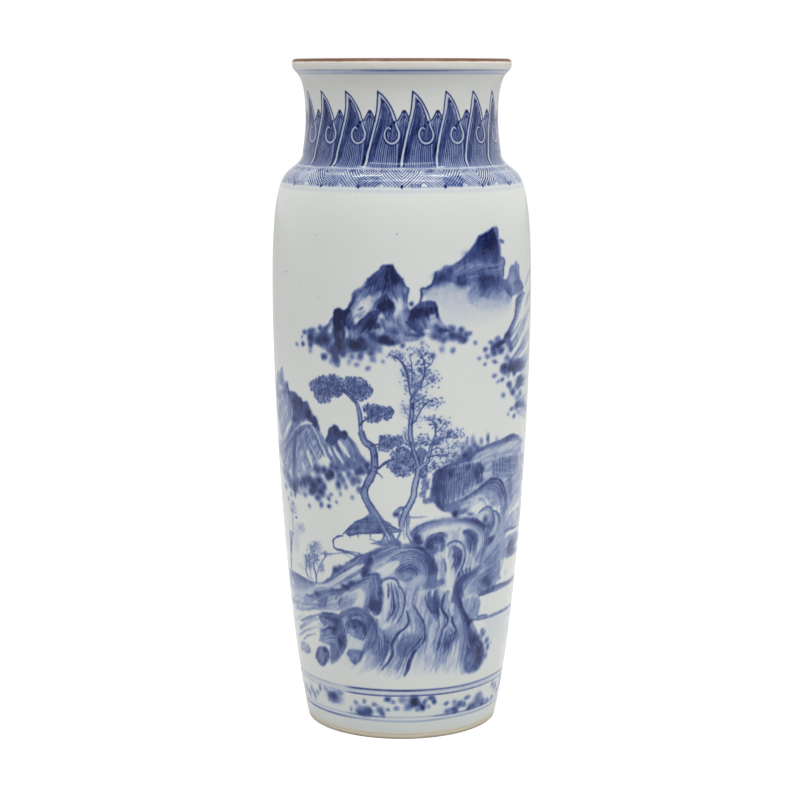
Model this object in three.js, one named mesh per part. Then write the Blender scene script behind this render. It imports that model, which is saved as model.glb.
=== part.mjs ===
// Sleeve vase in underglaze-blue porcelain: a tall tapered cylinder with a sloping shoulder,
// a short waisted neck and an everted lip. Millimetres, +Z up, origin at the middle of the foot.
//
// It is built as a potter builds it. The body is thrown in two sections and the neck in a third.
// They are luted together with slip, then glazed inside and out. The foot stays bare, and
// the mouth is dressed with iron brown.

import * as THREE from 'three';

// Driving dimensions
const height = 450;
const footRadius = 64.8;         // the ring that stands on the table
const footRingWidth = 8.5;
const glazeLine = 4;             // the bare foot ends and the glaze begins here
const baseRadius = 65.8;         // outside, at the glaze line
const bellyRadius = 87.5;
const bellyHeight = 290;
const shoulderRadius = 77.4;     // where the shoulder turns from convex to concave
const shoulderHeight = 375;
const neckFootRadius = 66.2;
const neckFootHeight = 390;
const waistRadius = 64.3;
const waistHeight = 411;
const lipRadius = 73.2;
const lipThickness = 5.2;
const lipRise = 3;               // the half-round top of the lip
const wall = 6;
const floorHeight = 14;          // top of the floor, inside
const baseRecess = 5;            // how deep the underside is cut back inside the foot ring
const glaze = 0.4;
const slip = 1.2;                // thickness of a luted joint
const hairline = 0.05;           // parts touching faces, so that no two pieces overlap
const bodySeam = 205;            // height of the luted joint in the body
const neckSeam = 384;            // height of the luted joint under the neck
const sides = 40;                // facets round every turned piece

const lipBase = height - lipRise;
const lipInside = lipRadius - lipThickness;
const skin = glaze + hairline;   // from a glazed surface down to the fired clay

// The glazed outside, from the glaze line up to the base of the lip's round top.
const outside = new THREE.Path()
  .moveTo(baseRadius, glazeLine)
  .bezierCurveTo(83, 89, bellyRadius, 240, bellyRadius, bellyHeight)
  .bezierCurveTo(bellyRadius, 325, 86.8, 365, shoulderRadius, shoulderHeight)
  .bezierCurveTo(72.8, 380, neckFootRadius, 381.6, neckFootRadius, neckFootHeight)
  .bezierCurveTo(65.2, 397, waistRadius, 404, waistRadius, waistHeight)
  .bezierCurveTo(waistRadius, 441.5, 70.6, 439.8, 72.6, 444)
  .bezierCurveTo(73, 445, lipRadius, 446, lipRadius, lipBase);

// The glazed inside, from the floor up to the same height.
const inside = new THREE.Path()
  .moveTo(baseRadius - wall - 9, floorHeight)
  .bezierCurveTo(56.5, floorHeight + 1, 60, 18, 62, 27)
  .bezierCurveTo(77, 100, bellyRadius - wall, 240, bellyRadius - wall, bellyHeight)
  .bezierCurveTo(bellyRadius - wall, 322, 81, 357, 73, 367.5)
  .bezierCurveTo(68, 374, neckFootRadius - wall, 376, neckFootRadius - wall, 388)
  .bezierCurveTo(59.4, 396, waistRadius - wall + 0.5, 404, waistRadius - wall + 0.5, waistHeight)
  .bezierCurveTo(waistRadius - wall + 0.5, 436, 65.5, 437, 67, 442)
  .bezierCurveTo(67.6, 444, lipInside, 445.5, lipInside, lipBase);

// Heights at which the profiles turn enough to need a facet edge, section by section.
const outsideHeights = {
  lower: [18, 36, 60, 90, 125, 165, bodySeam],
  upper: [bodySeam + slip, 250, 290, 320, 342, 357, 366, 372, 376, 380, neckSeam],
  neck: [neckSeam + slip, 388, 394, 411, 426, 435, 440, 444],
};
const insideHeights = {
  lower: [27, 60, 125, bodySeam],
  upper: [bodySeam + slip, 250, 290, 335, 350, 361, 367, 372, 378, neckSeam],
  neck: [neckSeam + slip, 396, 411, 428, 436, 440, 444],
};

// Radius of a profile at a height. Both profiles climb all the way, so there is one answer.
function profileRadius(profile, z) {
  const line = profile.getPoints(60);
  const above = Math.max(1, line.findIndex((point) => point.y >= z));
  const [low, high] = [line[above - 1], line[above]];
  return THREE.MathUtils.mapLinear(z, low.y, high.y, low.x, high.x);
}

// A point at a height, sunk below a glazed surface by a depth measured square to it.
function below(profile, z, depth) {
  const step = 0.5;
  const rise = profileRadius(profile, Math.min(z + step, lipBase));
  const fall = profileRadius(profile, Math.max(z - step, profile.getPoint(0).y));
  const slope = (rise - fall) / (2 * step);
  const toClay = profile === outside ? -1 : 1;
  return new THREE.Vector2(
    profileRadius(profile, z) + toClay * depth * Math.hypot(1, slope), z);
}

const outerLine = (heights, depth) => heights.map((z) => below(outside, z, depth));
const innerLine = (heights, depth) => heights.map((z) => below(inside, z, depth));
const downward = (points) => [...points].reverse();
const wholeWall = ({ lower, upper, neck: top }) => [...lower, ...upper, ...top, lipBase];

// The half-round top of the lip, from outside to inside, sunk by a depth.
function lipArc(depth, steps = 6) {
  const half = lipThickness / 2;
  return Array.from({ length: steps + 1 }, (_, i) => {
    const angle = Math.PI * i / steps;
    return new THREE.Vector2(
      lipRadius - half + (half - depth) * Math.cos(angle),
      lipBase + (lipRise - depth) * Math.sin(angle));
  });
}

function material(color, roughness) {
  return new THREE.MeshStandardMaterial({ color, roughness, metalness: 0 });
}

const biscuit = material(0xc9b795, 0.75);
const clearGlaze = material(0xd9dcd6, 0.12);
const slipClay = material(0xd4c9b4, 0.8);
const ironBrown = material(0x8a4a24, 0.45);

// Turns a closed outline, listed anticlockwise in the radius-height plane, about +Z.
function turned(name, outline, surface) {
  const geometry = new THREE.LatheGeometry(outline, sides);
  geometry.rotateX(Math.PI / 2);
  const mesh = new THREE.Mesh(geometry, surface);
  mesh.name = name;
  return mesh;
}

const closed = (outline) => [...outline, outline[0].clone()];
const at = (radius, z) => new THREE.Vector2(radius, z);

// Lower section: foot ring, recessed base, floor and the wall up to the body seam.
function lowerBody() {
  const ringInside = footRadius - footRingWidth;
  const wallFoot = floorHeight - skin;
  return turned('lower_body', [
    at(0, baseRecess + skin),
    at(ringInside - 1.5, baseRecess + skin),
    at(ringInside, 0),
    at(footRadius, 0),
    below(outside, glazeLine, skin),
    ...outerLine(outsideHeights.lower, skin),
    ...downward(innerLine(insideHeights.lower, skin)),
    at(60.5, 19.5),
    at(baseRadius - wall - 9, wallFoot),
    at(0, wallFoot),
  ], biscuit);
}

function upperBody() {
  return turned('upper_body', closed([
    ...outerLine(outsideHeights.upper, skin),
    ...downward(innerLine(insideHeights.upper, skin)),
  ]), biscuit);
}

function neck() {
  return turned('neck', closed([
    ...outerLine(outsideHeights.neck, skin),
    ...lipArc(skin),
    ...downward(innerLine(insideHeights.neck, skin)),
  ]), biscuit);
}

// A ring of fired slip that fills a luted joint from wall face to wall face.
function lutingSlip(name, seam) {
  return turned(name, closed([
    ...outerLine([seam, seam + slip], skin),
    ...innerLine([seam + slip, seam], skin),
  ]), slipClay);
}

// One unbroken coat over the whole outside, from the bare foot to the lip's round top.
function outerGlaze() {
  const heights = [glazeLine, ...wholeWall(outsideHeights)];
  return turned('outer_glaze', closed([
    ...outerLine(heights, 0),
    ...downward(outerLine(heights, glaze)),
  ]), clearGlaze);
}

// The coat inside: across the floor and up the wall to the lip's round top.
function innerGlaze() {
  const heights = wholeWall(insideHeights);
  const floorEdge = baseRadius - wall - 9;
  return turned('inner_glaze', [
    at(0, floorHeight - glaze),
    at(floorEdge, floorHeight - glaze),
    at(60.5, 19.5 + hairline),
    ...innerLine(heights, glaze),
    ...downward(innerLine(heights, 0)),
    at(60.5 - glaze, 20),
    at(floorEdge - glaze, floorHeight),
    at(0, floorHeight),
  ], clearGlaze);
}

function baseGlaze() {
  const edge = footRadius - footRingWidth - 1.5 - 0.3;
  return turned('base_glaze', [
    at(0, baseRecess),
    at(edge, baseRecess),
    at(edge, baseRecess + glaze),
    at(0, baseRecess + glaze),
  ], clearGlaze);
}

// Iron-brown dressing over the mouth, where the glaze thins on the round top of the lip.
function rimDressing() {
  const raised = (points) => points.map((point) => at(point.x, point.y + hairline));
  return turned('rim_dressing', closed([
    ...raised(lipArc(0)),
    ...raised(lipArc(glaze)).reverse(),
  ]), ironBrown);
}

const vase = new THREE.Group();
vase.add(
  lowerBody(),
  lutingSlip('body_luting_slip', bodySeam),
  upperBody(),
  lutingSlip('neck_luting_slip', neckSeam),
  neck(),
  outerGlaze(),
  innerGlaze(),
  baseGlaze(),
  rimDressing(),
);

export default vase;
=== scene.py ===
import math
import bmesh
import bpy
import numpy as np
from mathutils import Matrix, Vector


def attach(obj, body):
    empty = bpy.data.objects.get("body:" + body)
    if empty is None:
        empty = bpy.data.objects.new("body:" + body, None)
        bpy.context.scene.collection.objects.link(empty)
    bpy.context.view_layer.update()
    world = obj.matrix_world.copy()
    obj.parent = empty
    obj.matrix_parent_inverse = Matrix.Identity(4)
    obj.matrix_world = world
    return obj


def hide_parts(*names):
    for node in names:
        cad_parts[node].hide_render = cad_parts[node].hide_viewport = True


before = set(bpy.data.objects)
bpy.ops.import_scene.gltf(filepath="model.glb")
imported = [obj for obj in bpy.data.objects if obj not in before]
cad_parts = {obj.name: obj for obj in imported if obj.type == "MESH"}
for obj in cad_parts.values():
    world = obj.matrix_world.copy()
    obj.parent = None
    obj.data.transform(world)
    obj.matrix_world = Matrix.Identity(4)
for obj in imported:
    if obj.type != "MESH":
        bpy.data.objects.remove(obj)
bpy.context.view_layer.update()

# A blue and white sleeve vase. The form is turned from one profile in millimetres; the painting is
# brushed in numpy on a canvas of angle and height, and rides on the glaze as a vertex attribute.

mm = 0.001


form = {
    "glazeLine": 4.0, "baseRadius": 65.8,
    "belly": 87.5, "bellyHeight": 290.0, "shoulder": 77.4, "shoulderHeight": 375.0,
    "neckFoot": 66.2, "neckFootHeight": 390.0, "waist": 64.3, "waistHeight": 411.0,
    "lip": 73.2, "lipThickness": 5.2, "lipBase": 447.0, "lipRise": 3.0,
    "wall": 6.0, "floor": 14.0, "recess": 5.0, "recessRadius": 54.5, "innerInset": 0.4,
}


# Points along a chain of cubic curves: (1-t)^3 a + 3(1-t)^2 t b + 3(1-t) t^2 c + t^3 d for each.
def curveRun(start, curves, steps=160):
    t = np.linspace(0, 1, steps)[:, None]
    runs = []
    a = np.array(start, float)
    for b, c, d in curves:
        b, c, d = np.array(b, float), np.array(c, float), np.array(d, float)
        runs.append((1 - t) ** 3 * a + 3 * (1 - t) ** 2 * t * b + 3 * (1 - t) * t * t * c + t ** 3 * d)
        a = d
    line = np.vstack(runs)
    keep = np.r_[True, np.hypot(*np.diff(line, axis=0).T) > 1e-6]
    return line[keep]


outside = curveRun((form["baseRadius"], form["glazeLine"]), [
    ((83, 89), (form["belly"], 240), (form["belly"], form["bellyHeight"])),
    ((form["belly"], 325), (86.8, 365), (form["shoulder"], form["shoulderHeight"])),
    ((72.8, 380), (form["neckFoot"], 381.6), (form["neckFoot"], form["neckFootHeight"])),
    ((65.2, 397), (form["waist"], 404), (form["waist"], form["waistHeight"])),
    ((form["waist"], 441.5), (70.6, 439.8), (72.6, 444)),
    ((73, 445), (form["lip"], 446), (form["lip"], form["lipBase"])),
])
innerBelly = form["belly"] - form["wall"]
innerNeck = form["neckFoot"] - form["wall"]
innerWaist = form["waist"] - form["wall"] + 0.5
innerLip = form["lip"] - form["lipThickness"]
inside = curveRun((50.8, form["floor"]), [
    ((56.5, form["floor"] + 1), (60, 18), (62, 27)),
    ((77, 100), (innerBelly, 240), (innerBelly, form["bellyHeight"])),
    ((innerBelly, 322), (81, 357), (73, 367.5)),
    ((68, 374), (innerNeck, 376), (innerNeck, 388)),
    ((59.4, 396), (innerWaist, 404), (innerWaist, form["waistHeight"])),
    ((innerWaist, 436), (65.5, 437), (67, 442)),
    ((67.6, 444), (innerLip, 445.5), (innerLip, form["lipBase"])),
])
alongOutside = np.r_[0, np.cumsum(np.hypot(*np.diff(outside, axis=0).T))]


# Radius of the outside at a height.
def radiusAt(z):
    return np.interp(z, outside[:, 1], outside[:, 0])


# Length along the outside from the glaze line up to a height.
def lengthAt(z):
    return np.interp(z, outside[:, 1], alongOutside)


# Column angles in degrees, 0 towards the camera and falling to the left; closer in front.
canvas = {"frontStep": 0.3, "backStep": 0.45, "front": 90.0}
frontAngles = np.arange(-canvas["front"], canvas["front"], canvas["frontStep"])
backAngles = np.arange(canvas["front"], 360 - canvas["front"], canvas["backStep"])
angles = np.r_[frontAngles, backAngles]          # from -90 up to 270
# Row heights: (from, to, step along the surface)
rowBands = [(4.0, 12.0, 0.9), (12.0, 345.0, 0.52), (345.0, 366.0, 1.1), (366.0, 386.0, 0.5),
            (386.0, 431.0, 0.5), (431.0, 438.5, 1.0), (438.5, 444.5, 0.45), (444.5, 447.0, 0.8)]
rowLengths = [np.linspace(lengthAt(a), lengthAt(b), max(2, int(round((lengthAt(b) - lengthAt(a)) / s))),
                          endpoint=False) for a, b, s in rowBands]
lengths = np.r_[np.concatenate(rowLengths), alongOutside[-1]]
heights = np.interp(lengths, alongOutside, outside[:, 1])
radii = radiusAt(heights)
columnCount, rowCount = len(angles), len(lengths)
ink = np.zeros((rowCount, columnCount))
wideAngles = np.r_[angles - 360, angles, angles + 360]
noiseTable = np.random.default_rng(7).random((64, 64))


# Smooth value noise: random values on a unit lattice, blended by 3f^2 - 2f^3 between its corners.
def noise(x, y, seed=0):
    x, y = np.asarray(x) + 17.3 * seed, np.asarray(y) + 31.7 * seed
    i, j = np.floor(x).astype(int), np.floor(y).astype(int)
    f, g = x - i, y - j
    f, g = f * f * (3 - 2 * f), g * g * (3 - 2 * g)
    a, b = noiseTable[i % 64, j % 64], noiseTable[(i + 1) % 64, j % 64]
    c, d = noiseTable[i % 64, (j + 1) % 64], noiseTable[(i + 1) % 64, (j + 1) % 64]
    return (a + (b - a) * f) * (1 - g) + (c + (d - c) * f) * g


# 0 below a, 1 above b, and 3t^2 - 2t^3 between.
def ramp(x, a, b):
    t = np.clip((x - a) / (b - a), 0, 1)
    return t * t * (3 - 2 * t)


# How far the hand and the wet brush stray, in millimetres: the same wander for everything painted.
wander = {"coarse": 0.55, "fine": 0.35}
roundAngle = np.radians(angles)[None, :] * 80
upLength = lengths[:, None] + 0 * roundAngle
shake = [wander["coarse"] * (noise(roundAngle / 3.1, upLength / 3.1, k) - 0.5)
         + wander["fine"] * (noise(roundAngle / 1.1, upLength / 1.1, k + 4) - 0.5) for k in (51, 61)]


# Canvas cells inside a box: the index to paint through, and each cell's place in millimetres from
# the middle angle (x along the row) and from the foot (y along the surface).
def cells(t0, t1, y0, y1, middle):
    rows = np.arange(np.searchsorted(lengths, y0), np.searchsorted(lengths, y1))
    columns = np.arange(np.searchsorted(wideAngles, t0), np.searchsorted(wideAngles, t1))
    if len(rows) == 0 or len(columns) == 0:
        return None
    where = np.ix_(rows, columns % columnCount)
    x = np.radians(wideAngles[columns] - middle)[None, :] * radii[rows][:, None]
    x = x + motif["waver"] * shake[0][where]
    y = lengths[rows][:, None] + motif["waver"] * shake[1][where]
    return where, x, y


# How far the motif being painted is turned round the vase and raised from where it was set out,
# how much the hand wavers in it, and how much of the pigment takes in each cell.
motif = {"turn": 0.0, "rise": 0.0, "waver": 1.0, "takes": np.ones(ink.shape)}


# A smooth line through given points, as (angle, length) with equal steps along it. Points are
# written one after the other, angle then height, in degrees and millimetres.
def throughPoints(points, step=1.0):
    given = np.array(points, float).reshape(-1, 2) + [motif["turn"], motif["rise"]]
    p = np.c_[given[:, 0], lengthAt(given[:, 1])]
    scale = np.radians(1) * radiusAt(given[:, 1].mean())
    if len(p) > 2:
        q = np.vstack([2 * p[0] - p[1], p, 2 * p[-1] - p[-2]])
        t = np.linspace(0, 1, 12, endpoint=False)[:, None]
        runs = [0.5 * (2 * q[i] + (q[i + 1] - q[i - 1]) * t
                       + (2 * q[i - 1] - 5 * q[i] + 4 * q[i + 1] - q[i + 2]) * t ** 2
                       + (3 * q[i] - q[i - 1] - 3 * q[i + 1] + q[i + 2]) * t ** 3)
                for i in range(1, len(q) - 2)]
        p = np.vstack(runs + [q[-2:-1]])
    along = np.r_[0, np.cumsum(np.hypot(np.diff(p[:, 0]) * scale, np.diff(p[:, 1])))]
    count = max(2, int(along[-1] / step) + 1)
    u = np.linspace(0, along[-1], count)
    return np.c_[np.interp(u, along, p[:, 0]), np.interp(u, along, p[:, 1])], along[-1]


# Lays pigment of a value where cover is above 0: "over" replaces what is there, "dark" only deepens
# it, and "light" only wipes it back.
def lay(where, value, cover, how="dark"):
    here = ink[where]
    change = value - here
    if how == "dark":
        change = np.maximum(change, 0)
    elif how == "light":
        change = np.minimum(change, 0)
    ink[where] = here + change * cover * motif["takes"][where]


# For each cell, the distance to a line of points, the side of it, and the place along it in points.
# Cells further than reach from a stretch of the line are left out of that stretch.
def nearest(x, y, px, py, reach):
    best, side, place = np.full(x.shape, 1e9), np.zeros(x.shape), np.zeros(x.shape)
    count = len(px)
    for first in range(0, count - 1, 6):
        last = min(first + 6, count - 1)
        lowX, highX = px[first:last + 1].min() - reach, px[first:last + 1].max() + reach
        lowY, highY = py[first:last + 1].min() - reach, py[first:last + 1].max() + reach
        rows = np.flatnonzero((y.max(1) > lowY) & (y.min(1) < highY))
        columns = np.flatnonzero((x.max(0) > lowX) & (x.min(0) < highX))
        if len(rows) == 0 or len(columns) == 0:
            continue
        box = (slice(rows[0], rows[-1] + 1), slice(columns[0], columns[-1] + 1))
        gx, gy = x[box], y[box]
        near, nearSide, nearPlace = best[box], side[box], place[box]
        for k in range(first, last):
            dx, dy = px[k + 1] - px[k], py[k + 1] - py[k]
            size = max(dx * dx + dy * dy, 1e-9)
            t = np.clip(((gx - px[k]) * dx + (gy - py[k]) * dy) / size, 0, 1)
            d = np.hypot(gx - px[k] - t * dx, gy - py[k] - t * dy)
            closer = d < near
            near = np.where(closer, d, near)
            nearSide = np.where(closer, ((gx - px[k]) * dy - (gy - py[k]) * dx) / math.sqrt(size),
                nearSide)
            nearPlace = np.where(closer, k + t, nearPlace)
        best[box], side[box], place[box] = near, nearSide, nearPlace
    return best, side, place


# The cells round a line of (angle, length) and the line in their millimetres.
def around(line, reach):
    middle = 0.5 * (line[:, 0].min() + line[:, 0].max())
    grow = np.degrees(reach / 60)
    found = cells(line[:, 0].min() - grow, line[:, 0].max() + grow, line[:, 1].min() - reach,
        line[:, 1].max() + reach, middle)
    if found is None:
        return None
    where, x, y = found
    px = np.radians(line[:, 0] - middle) * np.interp(line[:, 1], lengths, radii)
    return where, x, y, px, line[:, 1]


# Whether cells lie inside a closed line: an even or odd count of crossings to their right.
def insideOf(x, y, px, py):
    within = np.zeros(x.shape, bool)
    for k in range(len(px)):
        ax, ay, bx, by = px[k - 1], py[k - 1], px[k], py[k]
        if ay != by:
            within ^= ((ay > y) != (by > y)) & (x < (bx - ax) * (y - ay) / (by - ay) + ax)
    return within


# One brush stroke along points (angle, height) in degrees and millimetres. It swells after its start
# and thins to its end, its edge is soft, and a dry brush leaves hairs along it.
def stroke(points, width=1.2, dark=0.8, dry=0.0, start=0.5, end=0.3, soft=0.4, seed=0, how="dark"):
    line, total = throughPoints(points)
    found = around(line, width * 0.65 + 1.0)
    if found is None:
        return
    where, x, y, px, py = found
    count = len(line)
    u = np.linspace(0, 1, count)
    swell = start + (1 - start) * np.minimum(1, u / 0.2) ** 0.8
    thin = end + (1 - end) * np.minimum(1, (1 - u) / 0.35) ** 0.8
    half = 0.5 * width * swell * thin * (0.85 + 0.3 * noise(u * total / 6, seed * 0.37, 1))
    near, side, place = nearest(x, y, px, py, width * 0.65 + 1.0)
    h = np.interp(place, np.arange(count), half)
    cover = 1 - ramp(near, h - soft * 0.5, h + soft)
    if dry > 0:
        hair = 0.6 * noise(side / 0.55 + seed * 3.1, place / 10, 3)
        hair = hair + 0.4 * noise(side / 1.6 + seed, place / 16, 4)
        cover = cover * (1 - dry * ramp(hair, 0.36, 0.6))
    tone = dark * (0.9 + 0.2 * (noise(place / 8, side / 3 + seed * 0.7, 2) - 0.5))
    lay(where, tone, cover, how)


# A wash inside a closed outline, with a soft edge. streak leaves hairs along lean (degrees from the
# row); fade is (height where full, height where gone).
def wash(points, dark=0.3, soft=1.0, streak=0.0, lean=60.0, seed=0, how="dark", fade=None):
    given = np.reshape(points, (-1, 2))
    line, _ = throughPoints(np.vstack([given, given[:1]]), 1.6)
    found = around(line, soft + 1)
    if found is None:
        return
    where, x, y, px, py = found
    near, _, _ = nearest(x, y, px, py, soft * 3 + 2)
    signed = np.where(insideOf(x, y, px, py), -near, near)
    ragged = soft * 0.6 * (noise(x / 2.2, y / 2.2, 7 + seed) - 0.5)
    cover = 1 - ramp(signed + ragged, -soft, soft * 0.5)
    if streak > 0:
        a = math.radians(lean)
        across, along = -x * math.sin(a) + y * math.cos(a), x * math.cos(a) + y * math.sin(a)
        hair = 0.6 * noise(across / 0.7, along / 10, 5 + seed)
        hair = hair + 0.4 * noise(across / 1.8, along / 14, 6 + seed)
        cover = cover * (1 - streak * ramp(hair, 0.36, 0.64))
    patch = 0.5 * noise(x / 6, y / 7, 8 + seed) + 0.5 * noise(x / 2.2, y / 2.8, 9 + seed)
    tone = dark * (1 + 0.5 * (patch - 0.5))
    if fade is not None:
        height = np.interp(y, lengths, heights) - motif["rise"]
        tone = tone * np.clip((height - fade[1]) / (fade[0] - fade[1]), 0, 1)
    lay(where, tone, cover, how)


# A broad combed stroke between guide lines a and b, drawn from their starts to their ends. across
# lists the tone from a to b, along scales it from start to end, comb is how far the hairs part, pitch
# how wide they are, and fray is the share of the stroke over which its end breaks up.
def ribbon(a, b, across, along, comb, fray, seed, how="over", pitch=0.75, soft=0.7):
    first, total = throughPoints(a)
    second, _ = throughPoints(b)
    steps = 40
    guides = []
    for g in (first, second):
        at, own = np.linspace(0, 1, steps), np.linspace(0, 1, len(g))
        guides.append(np.c_[np.interp(at, own, g[:, 0]), np.interp(at, own, g[:, 1])])
    found = around(np.vstack([guides[0], guides[1][::-1]]), soft + 1)
    if found is None:
        return
    where, x, y, px, py = found
    near = [nearest(x, y, px[:steps], py[:steps], 99),
        nearest(x, y, px[:steps - 1:-1], py[:steps - 1:-1], 99)]
    far = near[0][0] + near[1][0] + 1e-6
    c = near[0][0] / far
    s = (near[0][2] * (1 - c) + near[1][2] * c) / (steps - 1)
    edge, _, _ = nearest(x, y, np.r_[px, px[:1]], np.r_[py, py[:1]], soft * 3 + 2)
    signed = np.where(insideOf(x, y, px, py), -edge, edge)
    width = np.median(np.hypot(px[:steps] - px[:steps - 1:-1], py[:steps] - py[:steps - 1:-1]))
    place = c * width / pitch
    teeth = np.sin(2 * math.pi * (place / 2.1 + 0.9 * noise(place / 5, s * total / 16, seed)))
    fine = noise(place / 0.8 + seed * 7.3, s * total / 11, 11) - 0.5
    broad = noise(place / 2.4 + seed * 3.1, s * total / 18, 12) - 0.5
    hair = 0.5 + 0.2 * teeth + 0.45 * fine + 0.35 * broad
    cover = 1 - ramp(signed + 0.5 * (noise(x / 1.8, y / 1.8, 13 + seed) - 0.5), -soft, soft * 0.5)
    if fray > 0:
        cover = cover * (1 - ramp(s + fray * (hair - 0.5) * 1.6, 1 - fray, 1))
    tone = np.interp(c, np.linspace(0, 1, len(across)), across)
    if len(along) > 1:
        tone = tone * np.interp(s, np.linspace(0, 1, len(along)), along)
    tone = tone * (1.16 - 1.1 * comb * ramp(hair, 0.34, 0.66))
    tone = tone * (0.9 + 0.2 * noise(x / 5, y / 5, 14 + seed))
    lay(where, np.clip(tone, 0, 1.1), cover, how)


# A dab: an ellipse of half sizes a, b in degrees and millimetres, leaning by lean degrees.
def dab(t, z, a=1.5, b=1.6, dark=0.7, lean=0.0, soft=0.7, how="dark"):
    t, z = t + motif["turn"], z + motif["rise"]
    y0 = lengthAt(z)
    wide = np.radians(a) * radiusAt(z)
    reach = max(wide, b) * 1.4 + 0.6
    grow = np.degrees(reach / 60)
    found = cells(t - grow, t + grow, y0 - reach, y0 + reach, t)
    if found is None:
        return
    where, x, y = found
    c, s = math.cos(math.radians(lean)), math.sin(math.radians(lean))
    r = np.hypot((x * c + (y - y0) * s) / wide, (-x * s + (y - y0) * c) / b)
    blot = noise(x / 1.3 + t, y / 1.5 + z, 9)
    cover = 1 - ramp(r + 0.3 * (blot - 0.5), 1 - soft, 1 + soft * 0.5)
    lay(where, dark * (0.9 + 0.28 * blot), cover, how)


# Hairs of a brush drawn side by side: count strokes between the guide lines a and b.
def flow(a, b, count, width=0.9, dark=0.7, spread=0.3, seed=0, trim=0.25, dry=0.0, end=0.2):
    rng = np.random.default_rng(500 + seed)
    guides = []
    for points in (a, b):
        p = np.array(points, float).reshape(-1, 2)
        along = np.r_[0, np.cumsum(np.hypot(np.diff(p[:, 0]) * 1.4, np.diff(p[:, 1])))]
        u = np.linspace(0, along[-1], 9)
        guides.append(np.c_[np.interp(u, along, p[:, 0]), np.interp(u, along, p[:, 1])])
    for k in range(count):
        f = (k + 0.2 + 0.6 * rng.random()) / count
        line = guides[0] * (1 - f) + guides[1] * f
        first, last = trim * rng.random(), 1 - trim * rng.random()
        u = np.linspace(first, last, 7) * 8
        cut = np.c_[np.interp(u, np.arange(9), line[:, 0]), np.interp(u, np.arange(9), line[:, 1])]
        stroke(cut, width * rng.uniform(0.6, 1.4), dark * (1 - spread * rng.random()), dry, 0.4, end,
            0.35, seed + k)


# Lets the cobalt bleed: each cell takes a share of its neighbours, a number of times over.
def bleed(share, passes):
    for _ in range(passes):
        sides = (np.roll(ink, 1, 1) + np.roll(ink, -1, 1)) / 2
        ends = (np.vstack([ink[:1], ink[:-1]]) + np.vstack([ink[1:], ink[-1:]])) / 2
        ink[:] = ink * (1 - share) + share * (sides + ends) / 2


# In the kiln the cobalt gathers in a fine uneven grain.
def gather():
    grain = 0.14
    patch = 0.5 * noise(roundAngle / 0.9, upLength / 2.6, 71)
    patch = patch + 0.5 * noise(roundAngle / 2.2, upLength / 5.0, 72)
    ink[:] = ink * (1 + 2 * grain * (patch - 0.5))


cellAngle = np.repeat(angles[None, :], rowCount, 0)
cellHeight = np.repeat(heights[:, None], columnCount, 1)


# A ring round the vase at height z, size millimetres wide; strength is (angle, share) round it.
def ring(z, size, dark, seed, strength=((-90, 1), (270, 1)), waver=0.5):
    line = z + waver * (noise(angles / 22, 0.5, seed) - 0.5)
    share = np.interp(angles, *zip(*strength)) * (0.8 + 0.4 * (noise(angles / 17, 2.5, seed + 1) - 0.5))
    rows = np.abs(heights - z) < size + 2
    d = np.abs(cellHeight[rows] - line[None, :])
    where = (rows, slice(None))
    lay(where, dark * share[None, :], 1 - ramp(d, size * 0.25, size * 0.75 + 0.25))


# A pale wash between two heights.
def bandWash(z0, z1, dark, seed, uneven=0.5):
    rows = (heights > z0 - 1) & (heights < z1 + 1)
    z, t = cellHeight[rows], cellAngle[rows]
    cover = ramp(z, z0 - 0.6, z0 + 0.6) * (1 - ramp(z, z1 - 0.6, z1 + 0.6))
    lay((rows, slice(None)), dark * (1 - uneven + uneven * noise(t / 9, z / 6, seed)), cover)


lipLines = {"upper": 442.4, "lower": 440.3}
lappets = {"front": (-72.5, -53.5, -33.6, -13.7, 5.9, 25.4, 44.4, 63.7), "behind": 10, "foot": 381.4}


def paintLip():
    bandWash(440.0, 442.8, 0.2, 13)
    ring(lipLines["upper"], 1.0, 0.62, 11, ((-90, 0.7), (-38, 0.6), (-25, 0.9), (-12, 1.1), (20, 1),
        (40, 0.7), (90, 0.8), (150, 1), (270, 0.7)))
    ring(lipLines["lower"], 0.8, 0.36, 12, waver=0.3)


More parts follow.
